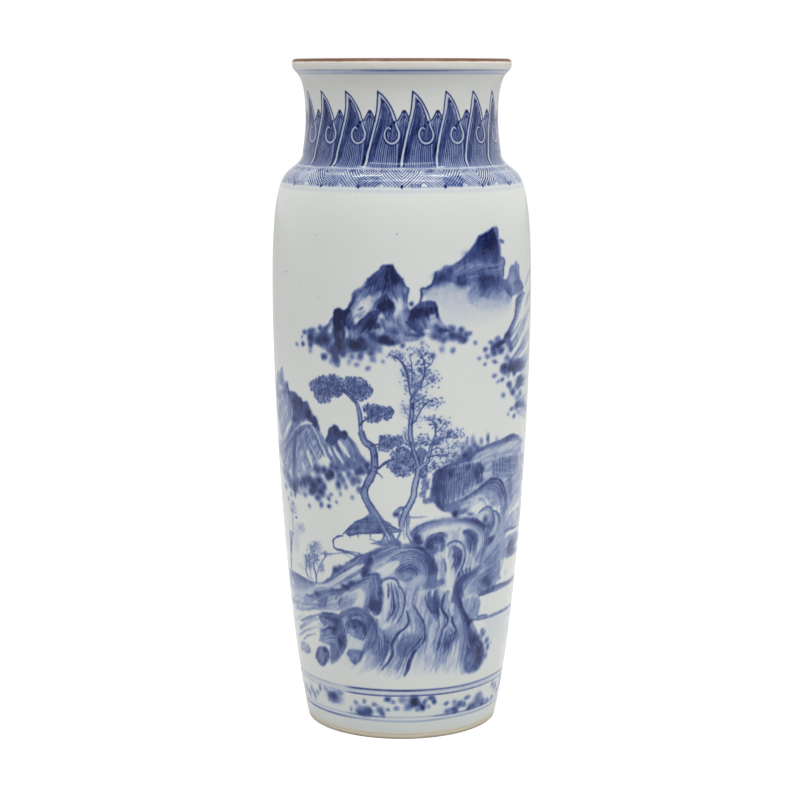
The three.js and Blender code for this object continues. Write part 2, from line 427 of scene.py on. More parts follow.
# One pointed lappet of the neck border, in degrees from its tip: a double outline with a thin pale
# border that ends in an open curl, fine upright hatching, and a small leaf behind it at the right.
def lappet(tone, seed):
    rng = np.random.default_rng(900 + seed)
    sway, foot, line = rng.uniform(-0.4, 0.4), lappets["foot"], min(1.0, tone * 1.5)
    left = [(0, 429), (-0.3, 424), (-0.7, 418), (-1.9, 412), (-3.4, 406), (sway - 4.6, 400),
        (sway - 5.8, 394), (sway - 6.8, 388), (sway - 7.4, foot)]
    right = [(0, 429.2), (2.5, 427), (5.2, 423.4), (7.6, 419), (9.3, 415), (10.7, 410.6)]
    innerLeft = [(a + 2.2, z - 4.6 if z > 420 else z) for a, z in left]
    innerRight = [2.1, 424.3, 4.3, 422, 6.3, 418, 7.8, 413.4, 8.8, 409.6]
    smallLeaf = [(11.2, 410.5), (13, 413.8), (14.9, 417.2), (16.8, 414.4), (18.6, 409.4)]
    wash([(0.2, 428)] + right + [(12, 405), (13, 396), (12.7, foot)] + left[::-1], tone * 0.5, 0.5, 0, 0,
        seed)
    wash(smallLeaf + [(17.2, 400), (14.4, 390), (12.8, foot), (11, foot), (11, 400)], tone * 0.5, 0.5, 0,
        0, seed + 3)
    wash([2.4, 423, 5, 419, 5.6, 412, 3, 404, 0, 396, -3, 384, -5, 384, -3.2, 396, 0, 406, 1.6, 414],
        tone, 0.9, 0.3, 78, seed + 4)
    # hatching: lines that run from the foot of the border up to its edge, and a few up the small leaf;
    # each row is (count, angles at the foot, angles at the head, edge that they end under)
    shares = ((0, 0), (0.16, 0.25), (0.46, 0.5), (0.78, 0.76), (1, 1))
    for count, feet, heads, edge in (
            (13, (-5.2, 10.7), (2.6, 10.6), ((2, 422.6), (5, 419), (8, 413), (10.5, 407.6))),
            (5, (11.2, 12.6), (12.2, 18), ((12, 410.5), (15, 415.6), (18.6, 409)))):
        for f in (np.arange(count) + 0.5) / count:
            low, high = feet[0] + (feet[1] - feet[0]) * f, heads[0] + (heads[1] - heads[0]) * f
            top = np.interp(high, *zip(*edge)) - rng.uniform(0, 2)
            points = [(low + (high - low) * g, foot + (top - foot) * h) for g, h in shares]
            stroke(points, 0.58, line * rng.uniform(0.85, 1.1), 0.1, 0.8, 0.6, 0.2, seed + int(40 * f))
    # the pale border, and its open curl between dark edges
    stroke([(a + 1.1, z - 2) for a, z in left], 1.5, how="light", dark=0.15, start=0.4, end=0.9,
        soft=0.25, seed=seed)
    turns = np.radians(np.arange(40, -215, -15))
    curl = [(8 + 4.2 * math.cos(q), 401.8 + 5.6 * math.sin(q)) for q in turns]
    curl = [(10.1, 409.4)] + curl + [(5.6, 406.3), (7.2, 405.4)]
    stroke(curl, 2.7, line, 0.1, 0.7, 0.6, 0.25, seed + 4)
    stroke(curl, 1.1, how="light", dark=0.2, start=1.0, end=0.6, soft=0.25, seed=seed)
    stroke([1.7, 426.4, 3.7, 424.7, 6, 421, 8, 416.4, 9.5, 411], 1.4, how="light", dark=0.15, start=0.5,
        end=0.8, soft=0.25, seed=seed)
    for points, width in ((left, 0.75), (right, 0.85), (innerLeft, 0.65), (innerRight, 0.7),
            (smallLeaf, 0.8), ([(a, z - 3) for a, z in smallLeaf[1:-1]], 0.6)):
        stroke(points, width, line, 0.1, 0.9, 0.75, 0.22, seed)
    for a, z, size in ((9.2, 409.4, 1.1), (0.4, 428.4, 0.9), (3, 422.6, 1.2), (15, 416, 1.2),
            (15, 412.4, 0.9), (7.6, 407, 1.2), (6.4, 404.2, 0.8)):
        dab(a, z, 0.75 * size, size, line, 0, 0.5)


def paintLappets():
    first, last = lappets["front"][-1], lappets["front"][0] + 360
    behind = np.linspace(first, last, lappets["behind"] + 2)[1:-1]
    for k, tip in enumerate([*lappets["front"], *behind]):
        # the brush was darker towards the left of the front
        tone = 0.70 + 0.15 * math.cos(math.radians(tip + 46)) + 0.04 * math.sin(k * 2.1)
        motif["turn"] = tip
        lappet(tone, 10 * k)
    motif["turn"] = 0.0
    ring(381.7, 0.7, 0.6, 22,
        ((-90, 0.7), (-20, 0.8), (-14, 1.1), (20, 1.0), (26, 0.6), (90, 0.8), (270, 0.9)))
    bandWash(379.8, 382, 0.1, 23)


# Hatching along the shoulder: slanting lines that turn over at every foot, every 20 degrees. Each face
# between has its own (tone of the lines, tone of the wash), the list starting at -60 degrees.
shoulder = {
    "feet": 18, "first": -60, "low": 369.6, "high": 379.8, "lines": 12, "slant": 8.6,
    "faces": ((0.6, 0.12), (1.0, 0.05), (0.85, 0.34), (1.0, 0.08), (1.0, 0.46), (0.85, 0.04),
              (0.8, 0.04), (0.85, 0.06), (0.9, 0.42), (0.8, 0.08), (1.0, 0.05), (0.8, 0.2)),
}


def paintShoulder():
    low, high, slant, faces = shoulder["low"], shoulder["high"], shoulder["slant"], shoulder["faces"]
    half = 180 / shoulder["feet"]
    bandWash(low, 380.6, 0.05, 31, 0.6)
    for k in range(shoulder["feet"]):
        motif["turn"] = 2 * half * k + shoulder["first"]
        rng = np.random.default_rng(700 + k)
        for side in (-1, 1):
            tone, filled = faces[(2 * k + (side - 1) // 2) % len(faces)]
            wash([0, low, side * half, low, side * half, 375.6, 0, 375.6], filled, 0.6, 0.4, -side * 50, k)
            for foot in np.arange(shoulder["lines"]) * (half + slant) / shoulder["lines"] - slant + 0.6:
                first, last = max(0.0, -foot / slant), min(1.0, (half - foot) / slant)
                if last - first > 0.12:
                    points = [(side * (foot + slant * f), low + (high - low) * f)
                        for f in (first, 0.5 * (first + last), last)]
                    stroke(points, 0.66, tone * rng.uniform(0.85, 1.1), 0.1, 0.9, 0.7, 0.2,
                        k + int(9 * foot))
        dab(0, low - 0.2, 0.8, 1.5, 0.92, 0, 0.6)
        for a in rng.uniform(-3, 9, 6):
            stroke([a, 371.2, a, 369], 0.7, rng.uniform(0.5, 0.9), 0.1, 0.8, 0.5, 0.3, k)
        for a in np.arange(-9.6, 9.6, 1.25):
            stroke([a, 379.9, a + (0.9 if k % 3 else -0.9), 378], 0.6, rng.uniform(0.5, 1.0), 0.1, 0.8,
                0.5, 0.22, k)
    motif["turn"] = 0.0
    for z, width, tone in ((380.4, 0.5, 0.3), (369.2, 0.6, 0.3)):
        ring(z, width, tone, 34, waver=0.3)
    ring(366.8, 2.2, 0.14, 14)


# The band above the foot: flowers and buds in soft blots between two pairs of lines.
def paintFoot():
    shares = ((-90, 0.35), (-33, 0.3), (-27, 1.05), (22, 1.0), (40, 0.85), (62, 0.6), (75, 0.4),
        (110, 0.9), (190, 1), (230, 0.5), (270, 0.35))
    bandWash(32.4, 35.2, 0.2, 17, 0.6)
    ring(35.6, 1.3, 0.86, 15, shares)
    ring(31.8, 1.0, 0.72, 16, shares)
    ring(16.4, 1.2, 0.5, 18, ((-90, 0.5), (-34, 0.5), (-28, 1.1), (-14, 1.0), (-8, 0.5), (16, 0.6),
        (22, 1.2), (58, 1.2), (66, 0.5), (140, 1), (200, 0.6), (270, 0.5)))
    ring(13.4, 1.4, 0.5, 19,
        ((-90, 0.6), (-66, 1.2), (-40, 1.25), (-24, 0.7), (60, 0.6), (130, 1.1), (200, 0.7), (270, 0.6)))
    blots = [(-41, 26, 6.6, 5.6, 0.62), (-41.6, 23.6, 4.4, 3.0, 0.5), (-42, 26.4, 3.4, 3.4, 0.8),
        (-36, 29.6, 2.8, 2.0, 0.45), (-47, 29.6, 2.4, 2.2, 0.4), (-52, 29, 1.8, 3.2, 0.5),
        (-55, 25, 1.8, 2.6, 0.45), (-59, 22, 2.4, 4.2, 0.45), (-62, 25, 2.4, 4.0, 0.4),
        (-66, 21, 2.6, 4.0, 0.45), (-71, 23, 3.0, 4.4, 0.42), (-22, 19.4, 5.2, 4.4, 0.6),
        (-23, 17.8, 4.4, 2.4, 0.74), (-18.4, 20, 2.4, 3.8, 0.78), (-12, 21, 2.8, 3.6, 0.6),
        (-10.6, 18.4, 1.6, 2.6, 0.62), (-29.6, 19.4, 1.4, 2.6, 0.4), (-26.2, 25, 1.7, 2.2, 0.45),
        (-21, 26.6, 1.5, 2.6, 0.5), (-15.2, 25.2, 2.2, 2.1, 0.5), (-7.6, 21.8, 1.6, 1.7, 0.45),
        (-3, 22.8, 2.0, 2.2, 0.5), (-8, 29.4, 2.3, 2.7, 0.8), (-4.8, 27.4, 1.8, 2.0, 0.5),
        (0.4, 29, 2.8, 3.2, 0.5), (3.4, 23.8, 3.0, 3.6, 0.58), (6.8, 28.4, 3.8, 4.0, 0.92),
        (7.4, 26, 3.0, 3.0, 0.95), (11.4, 23.6, 2.2, 3.4, 0.9), (8.6, 21.6, 2.0, 2.0, 0.5),
        (12.6, 27.4, 1.6, 2.4, 0.62), (16, 29.8, 2.8, 2.2, 0.72), (18, 27, 1.7, 3.0, 0.8),
        (15, 23.6, 1.5, 2.2, 0.42), (25.4, 24.2, 2.2, 2.2, 0.55), (26.4, 18.4, 2.8, 2.6, 0.55),
        (30.4, 24.4, 1.8, 2.6, 0.52), (31, 19, 3.2, 3.2, 0.78), (34.4, 22.2, 3.4, 3.2, 0.7),
        (32, 16.9, 2.0, 1.4, 0.8), (37.2, 21.2, 2.0, 2.2, 0.6), (39.2, 25.8, 2.6, 2.2, 0.58),
        (48, 22, 4.6, 5.0, 0.55), (44, 18.6, 5.0, 3.0, 0.66), (52, 19, 4.6, 3.4, 0.6),
        (48.4, 24.4, 3.0, 3.4, 0.5), (41.4, 17, 2.4, 1.4, 0.75), (53, 17, 2.0, 1.4, 0.7),
        (58, 18, 2.6, 2.2, 0.55), (62, 28.6, 2.4, 2.8, 0.42), (66, 26, 3, 4, 0.42),
        (64, 18.6, 2.6, 2, 0.5), (71, 21, 2.6, 3.6, 0.42), (76, 26, 2.8, 3.4, 0.42)]
    # all of them in front, and two shorter runs of them round the far side: (turn, from, to)
    for turn, first, last in ((0, -90, 90), (122, -48, 62), (196, -30, 20)):
        for i, (t, z, a, b, tone) in enumerate(blots):
            if first < t < last:
                dab(t + turn, z, a, b, tone, 10 * math.sin(i), 0.9)


# Points drawn in towards the middle (t, z) by the share s.
def shrunk(points, t, z, s):
    middle = np.array([t, z])
    return middle + (np.reshape(points, (-1, 2)) - middle) * s


# A stack of combed strokes; each row is (guide a, guide b, across, along, comb, fray).
def ribbons(rows, seed):
    for k, (a, b, across, along, comb, fray) in enumerate(rows):
        ribbon(a, b, across, along, comb, fray, seed + k)


# Lines drawn with the tip of the brush; each row is (points, width, tone).
def lines(rows, seed, dry=0.15, end=0.4):
    for k, (points, width, tone) in enumerate(rows):
        stroke(points, width, tone, dry, 0.6, end, 0.45, seed + k)


# Wet blots in rows of (angle, height, half width, half height, tone).
def dabs(rows, strength=1.08, soft=0.95):
    for i, (t, z, a, b, dark) in enumerate(rows):
        dab(t, z, a, b, dark * strength, 12 * math.sin(i * 1.7), soft)


# Bare paper wiped back in rows of (angle, height, half width, half height, tone left).
def wipes(rows):
    for i, (t, z, a, b, left) in enumerate(rows):
        dab(t, z, a, b, left, 12 * math.sin(i * 1.7), 0.9, "light")


# The middle peak: dark crests combed down over dry slopes, and a foot of wet blots.
def middlePeak():
    ridge = [-26, 286, -24.4, 290.4, -22.4, 296, -21.6, 302, -20, 304.4, -17.6, 305.6, -15.6, 308,
        -14.4, 311, -13.4, 313.2, -11.8, 314, -9.8, 316.6, -8, 319, -6, 321, -4.4, 321.4, -3, 319.6,
        -2, 315.4, -1.2, 313.2, 0.4, 312.6, 0.6, 309, 1.6, 306.6, 3, 305.2, 2.3, 301, 2.2, 296,
        2.9, 293.6]
    wash(ridge + [6, 286, 9, 278, 2, 272, -10, 270, -24, 268, -30, 272, -30, 282], 0.4, 0.9, 0.5, 66, 1)
    ribbons([
        # outer slopes, from the ridge to bare paper
        ([-12, 311, -16.4, 307, -20.6, 303.4, -22, 298, -23.8, 291.6, -25, 286],
            [-9, 305, -11.4, 300, -13, 293, -16, 287.6, -19, 283, -21, 279],
            (0.9, 0.74, 0.3, 0.06, 0.04, 0.1), (1.05, 1, 1, 1.1), 0.65, 0.15),
        ([0.4, 311, 2.6, 305, 2.1, 298, 3, 292, 6, 286, 9, 279],
            [-5.4, 306, -4, 300, -2.6, 293, -1.6, 288, -1, 284, 1, 278], (0.72, 0.4, 0.1, 0.06, 0.2),
            (1, 1, 1, 1.3, 1.8, 2.2), 0.7, 0.2),
        ([-10, 291, -9, 286, -7.6, 281, -6, 277], [-2.6, 291, -1.6, 286, 0.6, 281, 3, 276],
            (0.62, 0.4, 0.5, 0.56), (0.8, 0.9, 1.1), 0.7, 0.1),
        ([-24, 284, -22.6, 278, -23, 270], [-18.4, 279, -17.4, 275, -16.4, 268], (0.7, 0.3, 0.36, 0.55),
            (0.9, 1, 1.1), 0.65, 0.1),
        # left hump
        ([-31, 286, -34, 279.6, -38.4, 272, -40, 267], [-27, 284, -29.6, 277, -32, 270, -34, 265],
            (0.84, 0.66, 0.4, 0.72), (1, 1, 0.95), 0.5, 0.2),
        ([-30.6, 284, -30, 290, -27.4, 292.8, -25, 290.8, -23.4, 292.4, -22, 290],
            [-29, 268, -28, 272, -27, 276, -26, 278, -25, 280, -23, 283], (1.0, 1.0, 0.92, 0.9), (1,),
            0.3, 0.05),
        # right hump
        ([3.6, 291, 2, 286, 4, 281, 9, 275], [14.6, 294, 15.6, 290, 17, 285, 20, 279],
            (0.95, 0.9, 0.66, 0.4, 0.5, 0.8), (1.05, 0.85, 0.72, 0.7), 0.6, 0.1)], 10)
    wash([-25.4, 291, -22.4, 292, -20.6, 287, -20, 281, -22.4, 278, -25, 281], 0.86, 1.0, 0.35, 62, 31)
    wash([-38.4, 272, -36.6, 278, -33, 281, -32, 276, -34, 270], 0.66, 1.0, 0.3, 60, 32)
    wash([-29, 284, -25, 284, -24.6, 276, -25, 270, -29, 270, -30, 277], 0.9, 1.0, 0.3, 80, 33)
    wash([-2, 291, 2, 293, 4, 287, 5, 280, 1, 277, -2, 281], 0.5, 1.2, 0.6, 112, 34)
    # crests: hairs that fan out from the top of each and fade as they fall
    fade = (1.08, 1.06, 0.96, 0.66, 0.24, 0.04, 0.0)
    for k, (a, b, along) in enumerate(((
            [-8, 320.8, -11, 316.4, -14.6, 312, -17.6, 305.4, -20.6, 300.6, -22.4, 294],
            [-3.6, 321.6, -1.8, 316, 0.8, 311, 1.4, 305, 2.2, 299, 2.6, 293], fade),
            ([-8, 302, -10.6, 298, -12.6, 292, -13.6, 286, -14, 280],
                [-6.6, 302.6, -4.6, 298.6, -2.6, 292.6, -0.4, 286, 2, 279], fade),
            ([-12, 292, -16, 287.6, -20.4, 281, -23.4, 274],
                [-9.6, 291, -10.4, 285, -12.6, 279, -15.4, 272], (1.0, 1.02, 1.0, 0.8, 0.5)),
            ([3.4, 293, 3.6, 290, 5, 286, 7, 280], [14.6, 294, 15.4, 291, 16, 287, 17.6, 281],
                (1.06, 1.04, 0.9, 0.4, 0.0)))):
        ribbon(a, b, (0.92, 0.96, 0.92, 0.96), along, 0.5, 0.35, 30 + k, "dark")
    dabs([(16.6, 278, 2.6, 3.4, 0.8), (13, 262, 1.8, 2.6, 0.66), (-17, 272, 2.4, 3.4, 0.84),
        (-10.6, 281, 2.0, 3.6, 0.86), (-13, 264, 2.0, 2.6, 0.7), (26, 271, 2.2, 2.2, 0.6),
        (4, 296, 1.2, 1.8, 0.8)])
    wash([-7, 298, -4.4, 299, -3, 294, -5, 291, -9, 291, -10.4, 295], 0.95, 0.9, 0.2, 90, 36)
    wash([3.4, 291, 4.6, 293.6, 7, 296.6, 11, 298, 14, 297.4, 15.2, 294, 15.4, 290, 12, 288, 8, 289,
        4, 290], 0.94, 0.9, 0.2, 90, 37)
    for a, b, count, width, dark in (
            ([-16, 307, -18, 302, -20, 297], [-7, 308, -9, 304, -11.6, 300], 12, 0.7, 0.8),
            ([-6, 308, -4.4, 302, -2.6, 295], [0.6, 308, 1.6, 302, 2, 295], 8, 0.6, 0.85),
            ([-10, 293, -9.4, 288, -8, 282], [-3, 293, -1, 287, 2, 281], 11, 0.6, 0.8),
            ([1.6, 291, 4, 284, 8, 277], [9, 290, 10, 284, 11, 278], 8, 0.7, 0.86),
            ([-24, 284, -23, 277, -23.6, 270], [-18, 279, -17, 274, -16, 268], 7, 0.6, 0.75),
            ([-31, 283, -34, 277, -37, 271], [-29, 276, -30, 271, -31, 267], 6, 0.9, 0.8)):
        flow(a, b, count, width, dark, 0.3, count, 0.35, 0.2, 0.1)
    lines([([-17, 299, -19, 296], 1.0, 0.5), ([-16.4, 293.6, -18.6, 291.2], 1.3, 0.78),
        ([-15.6, 291, -19, 288, -21, 285.6], 2.4, 0.4), ([-16.6, 288.6, -18.4, 286.4], 1.0, 0.6),
        ([0.4, 312.6, 0.7, 309, 1.5, 306.4, 3, 305.4, 2.2, 301, 2.1, 296], 0.9, 0.85),
        ([-9.8, 290.4, -8.4, 285, -7, 279.6], 1.2, 0.9), ([2, 284.6, 5, 279.8, 9, 275.6], 2.0, 0.95),
        ([16, 279.2, 18, 278.4, 20.4, 277.6], 2.0, 0.98)], 40)
    wipes([(-8.6, 288, 1.5, 2.2, 0.1), (12.8, 288, 1.5, 1.9, 0.08), (13.6, 284.6, 2.0, 2.2, 0.2),
        (11, 278, 2.0, 2.0, 0.06), (-31.8, 276.4, 1.2, 2.6, 0.1), (-10, 278.4, 1.6, 1.8, 0.3),
        (-0.6, 274.6, 1.6, 1.8, 0.15), (-2.4, 290, 1.2, 4.0, 0.12)])
    # the foot
    wash([-44, 275, -36, 276, -30, 276, -24, 274, -14, 273, -8, 276, 2, 275, 8, 273, 2, 271, -8, 269,
        -14, 266, -24, 263, -32, 262, -38, 266, -44, 269], 0.55, 1.4, 0.3, 80, 14)
    dabs([(-43, 271.6, 2.2, 4.6, 0.88), (-42, 276, 3.2, 2.2, 0.74), (-42.8, 266.6, 1.8, 2.8, 0.72),
        (-43, 262.6, 1.6, 2.2, 0.4), (-46.4, 274.4, 1.7, 2.0, 0.72), (-48.2, 271, 1.2, 1.5, 0.5),
        (-47.6, 266.6, 1.6, 2.2, 0.74), (-51.8, 265.6, 1.7, 1.8, 0.44), (-38, 270, 2.8, 3.6, 0.86),
        (-34.4, 271, 2.6, 4.0, 0.84), (-35.2, 259.8, 2.0, 2.8, 0.8), (-30, 264, 3.6, 5.4, 0.8),
        (-27, 268, 2.6, 5, 0.95), (-29.2, 258.6, 2.2, 4.6, 0.82), (-31.8, 257, 1.4, 2.4, 0.4),
        (-28.4, 255.4, 1.4, 2.2, 0.55), (-25.6, 263, 2.0, 3.6, 0.74), (-20.4, 268.6, 4.4, 4.4, 0.98),
        (-16.6, 268, 3.0, 4.2, 0.84), (-21.6, 261.4, 1.8, 3.2, 0.52), (-23, 257.6, 1.4, 2.4, 0.38),
        (-17.8, 261.6, 1.8, 3.6, 0.68), (-19.4, 255.8, 1.8, 1.9, 0.48), (-14.6, 253.8, 1.5, 2.0, 0.55),
        (-12.4, 275, 2.4, 3.4, 0.8), (-12, 267, 2.0, 4.2, 0.6), (-12.2, 260, 1.8, 2.8, 0.5),
        (-9.6, 266.6, 1.6, 3.6, 0.5), (-7.4, 272.6, 4.2, 3.6, 1.02), (-4.6, 270.6, 2.4, 2.2, 0.95),
        (-7.9, 258.8, 1.1, 1.8, 0.45), (-1.6, 271.2, 1.6, 1.5, 0.6), (0.3, 269.2, 1.2, 2.2, 0.66),
        (-3.6, 278, 3.4, 3.6, 0.62), (-37, 278, 1.6, 2.6, 0.7), (11, 291, 3.0, 3.0, 0.8),
        (14.6, 281, 1.8, 3.0, 0.6), (3, 276.4, 2.6, 2.0, 0.6), (8.6, 270.6, 1.5, 2.2, 0.32),
        (6.6, 275.4, 3.0, 2.0, 0.78), (14.4, 274.6, 3.2, 3.2, 0.66), (17.6, 272.6, 2.2, 3.0, 0.66),
        (17, 266.4, 1.6, 3.0, 0.42), (22, 265.2, 1.6, 2.6, 0.55), (21.4, 279.6, 2.4, 2.4, 0.66),
        (21.6, 274.6, 2.8, 4.0, 0.8), (25.8, 278, 1.9, 2.6, 0.72), (25, 273.6, 2.6, 3.2, 0.76),
        (27.6, 271.6, 2.0, 2.6, 0.8), (28.4, 275, 1.6, 2.4, 0.74), (30.2, 275.6, 1.3, 1.5, 0.6),
        (32.8, 269.2, 1.3, 1.8, 0.56)])


# The tall peak at the right: a dark head running down to the left, over a wash that fades to mist.
def tallPeak():
    wash([9, 304, 14, 309, 30, 311, 50, 308, 56, 299, 52, 286, 30, 279, 17, 281, 15.6, 294, 10, 298], 0.3,
        2.4, 0.15, 0, 20, fade=(309, 277))
    head = [8.2, 305.4, 10.4, 305.6, 12.6, 308, 13.8, 312, 14.2, 316.6, 16.4, 316.8, 18.4, 320.4,
        20.6, 320.4, 25, 323, 28, 326.5, 31, 331, 33, 334.6, 34.6, 338, 38, 339.4, 40.6, 341, 43.4, 343.2,
        45.6, 342.8, 46.8, 340.4, 46.2, 335, 47.6, 330, 47.6, 324, 49.6, 320.6, 48.8, 316, 49.4, 309]
    wash(head + [56, 302, 54, 292, 42, 287, 30, 294, 28.4, 299.6, 30, 305, 25, 307, 18, 308, 11.6, 303.6,
        8.4, 300], 0.66, 1.0, 0.25, 32, 21, fade=(310, 283))
    ribbons([(head[16:32], [26, 318.6, 29, 320, 32, 322, 35, 323, 38, 324, 41, 325, 44, 326, 46, 328],
        (0.78, 0.86, 0.86, 0.7), (0.8, 0.84, 1.0, 1.1), 0.25, 0.02),
        ([22, 314, 30, 317, 38, 319, 47, 319], [24, 309, 31, 311, 39, 312, 48, 312],
            (0.5, 0.66, 0.6, 0.5), (1,), 0.35, 0.1),
        ([40, 312, 36, 306, 31, 299.6], [52, 308, 50, 302, 46, 295], (0.72, 0.62, 0.56), (1.1, 1, 0.6),
            0.4, 0.4)], 50)
    dabs([(41.6, 332, 4.4, 8.0, 1.0), (38, 329, 4.6, 6.0, 0.9), (44.4, 325, 2.8, 5.0, 0.86),
        (31, 325, 4.6, 3.6, 0.78), (17, 312.4, 4.0, 4.6, 0.9), (19.6, 315, 2.6, 4.6, 0.74),
        (26, 309.6, 3.4, 4.4, 0.84), (36.8, 309.4, 3.2, 5.2, 0.96), (41.6, 308.6, 2.8, 5.0, 0.84),
        (45.6, 310, 2.2, 3.6, 0.76), (38, 304.6, 2.6, 2.4, 0.62)], 1.0, 1.1)
    lines([([7.6, 297, 8.3, 301, 8.2, 305.4, 10.4, 305.6, 12.6, 308, 13.8, 312, 14.2, 316], 1.3, 0.88),
        ([46.8, 334, 49.4, 332.6], 2.2, 0.7), ([47.6, 323, 50, 320.4, 49, 316, 49, 310.5], 1.6, 0.7),
        ([10, 303.6, 14, 306, 20, 308], 2.0, 0.4)], 56, 0.05, 0.7)
    # its shoulder behind
    wash([50, 308, 52, 311, 53.6, 316.8, 57, 317.2, 58, 319.4, 59.2, 320, 60.4, 317.6, 62, 317, 62.6, 310,
        64.4, 306, 67.2, 301, 64, 298, 58, 297, 54.6, 297.4, 50, 303], 0.52, 0.9, 0.15, 75, 27)
    wash([56, 306, 62, 307, 65, 304.4, 67.4, 300.6, 63, 298.6, 58, 300], 0.64, 1.0, 0.2, 70, 28)
    stroke([49.6, 304.4, 52, 300.6, 54.8, 296.8], 2.2, 0.78, 0.1, 0.6, 0.7)


# The cliff at the far right: combed strokes that fall to the left from under the peak.
def rightCliff():
    ribbons([([66, 299, 61, 297, 58.4, 294, 57.8, 288, 57, 283, 53, 276, 48, 269],
        [70, 297, 66, 292, 64, 287, 61, 281, 59, 277, 56, 271, 51, 263], (0.72, 0.56, 0.2),
        (0.8, 1, 1, 1.15, 1.2), 0.4, 0.1),
        ([82, 292, 74, 287, 67, 281, 60, 273, 54, 265, 50, 260],
            [82, 284, 74, 279, 68, 273, 62, 267, 57, 262, 53, 258], (0.25, 0.45, 0.4, 0.15),
            (0.4, 0.7, 1.0, 1.2), 0.5, 0.2),
        ([82, 278, 74, 272, 67, 267, 60, 260, 54, 255], [82, 268, 74, 263, 67, 258, 61, 255, 56, 252],
            (0.5, 0.3, 0.56), (0.4, 0.8, 1.2), 0.5, 0.2),
        ([80, 262, 72, 257, 64, 255, 56, 253, 48, 253], [80, 248, 72, 244, 64, 244.6, 57, 245.6, 48, 247],
            (0.35, 0.75, 0.75, 0.4), (0.25, 0.55, 1.0, 1.15, 1.15), 0.4, 0.15),
        ([82, 302, 75, 298, 68, 290], [82, 296, 76, 291, 70, 284], (0.4, 0.2), (1,), 0.5, 0.3),
        ([82, 247, 75, 245, 68, 244, 61, 242], [82, 232, 75, 233, 68, 234, 61, 236], (0.3, 0.6, 0.5),
            (0.35, 0.5, 1.2, 1.2), 0.4, 0.2),
        ([82, 232, 75, 230, 68, 227, 60, 225], [82, 212, 76, 211, 69, 213, 61, 219], (0.3, 0.6, 0.5),
            (0.5, 0.75, 1.15, 1.2), 0.4, 0.2)], 60)
    lines([([70, 303, 75, 309, 82, 312], 3.0, 0.4), ([53, 268, 58, 273, 64, 280], 1.0, 0.75),
        ([55, 260, 61, 266, 68, 273], 0.9, 0.8), ([57, 256, 63, 260, 70, 265], 0.9, 0.75)], 70, 0.3)
    dabs([(46, 266, 3.0, 3.6, 0.9), (43, 264.6, 2.2, 3.4, 0.8), (48.6, 267.6, 2.6, 1.9, 0.98),
        (41.4, 268.4, 1.9, 1.9, 0.6), (45.4, 270.4, 2.2, 1.9, 0.6), (52.6, 271.4, 2.8, 2.8, 0.78),
        (38.4, 264.2, 1.6, 2.0, 0.72), (39.6, 259.4, 2.0, 2.2, 0.56), (35, 258.6, 1.4, 1.7, 0.5),
        (38.2, 254.4, 1.3, 1.5, 0.56), (44, 255.2, 2.4, 1.7, 0.6), (44, 246, 1.9, 1.8, 0.56),
        (46.6, 241.8, 1.8, 1.5, 0.46), (49.4, 242.4, 1.7, 2.0, 0.66), (50.4, 232, 2.2, 2.1, 0.56),
        (50, 250.4, 3.0, 3.4, 0.86), (55.4, 249.6, 3.2, 3.2, 0.82), (59, 245.4, 1.9, 2.8, 0.78),
        (52.4, 256.4, 2.4, 2.8, 0.56), (55.4, 262, 2.2, 2.6, 0.66), (54.4, 238.6, 2.4, 2.2, 0.74),
        (58, 232.6, 2.8, 2.8, 0.76), (64, 239, 4.4, 3.6, 0.74), (61, 236, 2.6, 1.9, 0.56),
        (57.4, 221.4, 2.2, 1.8, 0.62), (54.8, 218.4, 1.5, 1.5, 0.4), (60.2, 215.8, 2.0, 1.9, 0.6),
        (63, 223, 4.0, 3.2, 0.74), (69, 221, 3.4, 3.0, 0.6), (53.6, 244.6, 1.8, 2.6, 0.4),
        (43.6, 261, 2.4, 3.0, 0.7), (48, 262, 3.0, 3.0, 0.72), (53.6, 266, 2.6, 3.2, 0.66),
        (56, 253.4, 3.4, 2.8, 0.7), (61, 252, 3.0, 3.0, 0.7), (66, 230, 3.0, 3.0, 0.5),
        (51, 247.4, 2.6, 2.4, 0.66), (55.6, 237, 2, 3, 0.6), (63.6, 235, 3, 2.4, 0.6),
        (66, 218, 3.6, 3, 0.5), (62.6, 228, 3.2, 2.4, 0.45)])
    wash([60, 274, 66, 277, 68.6, 268, 62, 263], 0.28, 1.6, 0.4, 40, 39, "light")
    wash([61, 212, 76, 209, 78, 216, 64, 221], 0.16, 1.6, 0.4, 10, 40, "light")


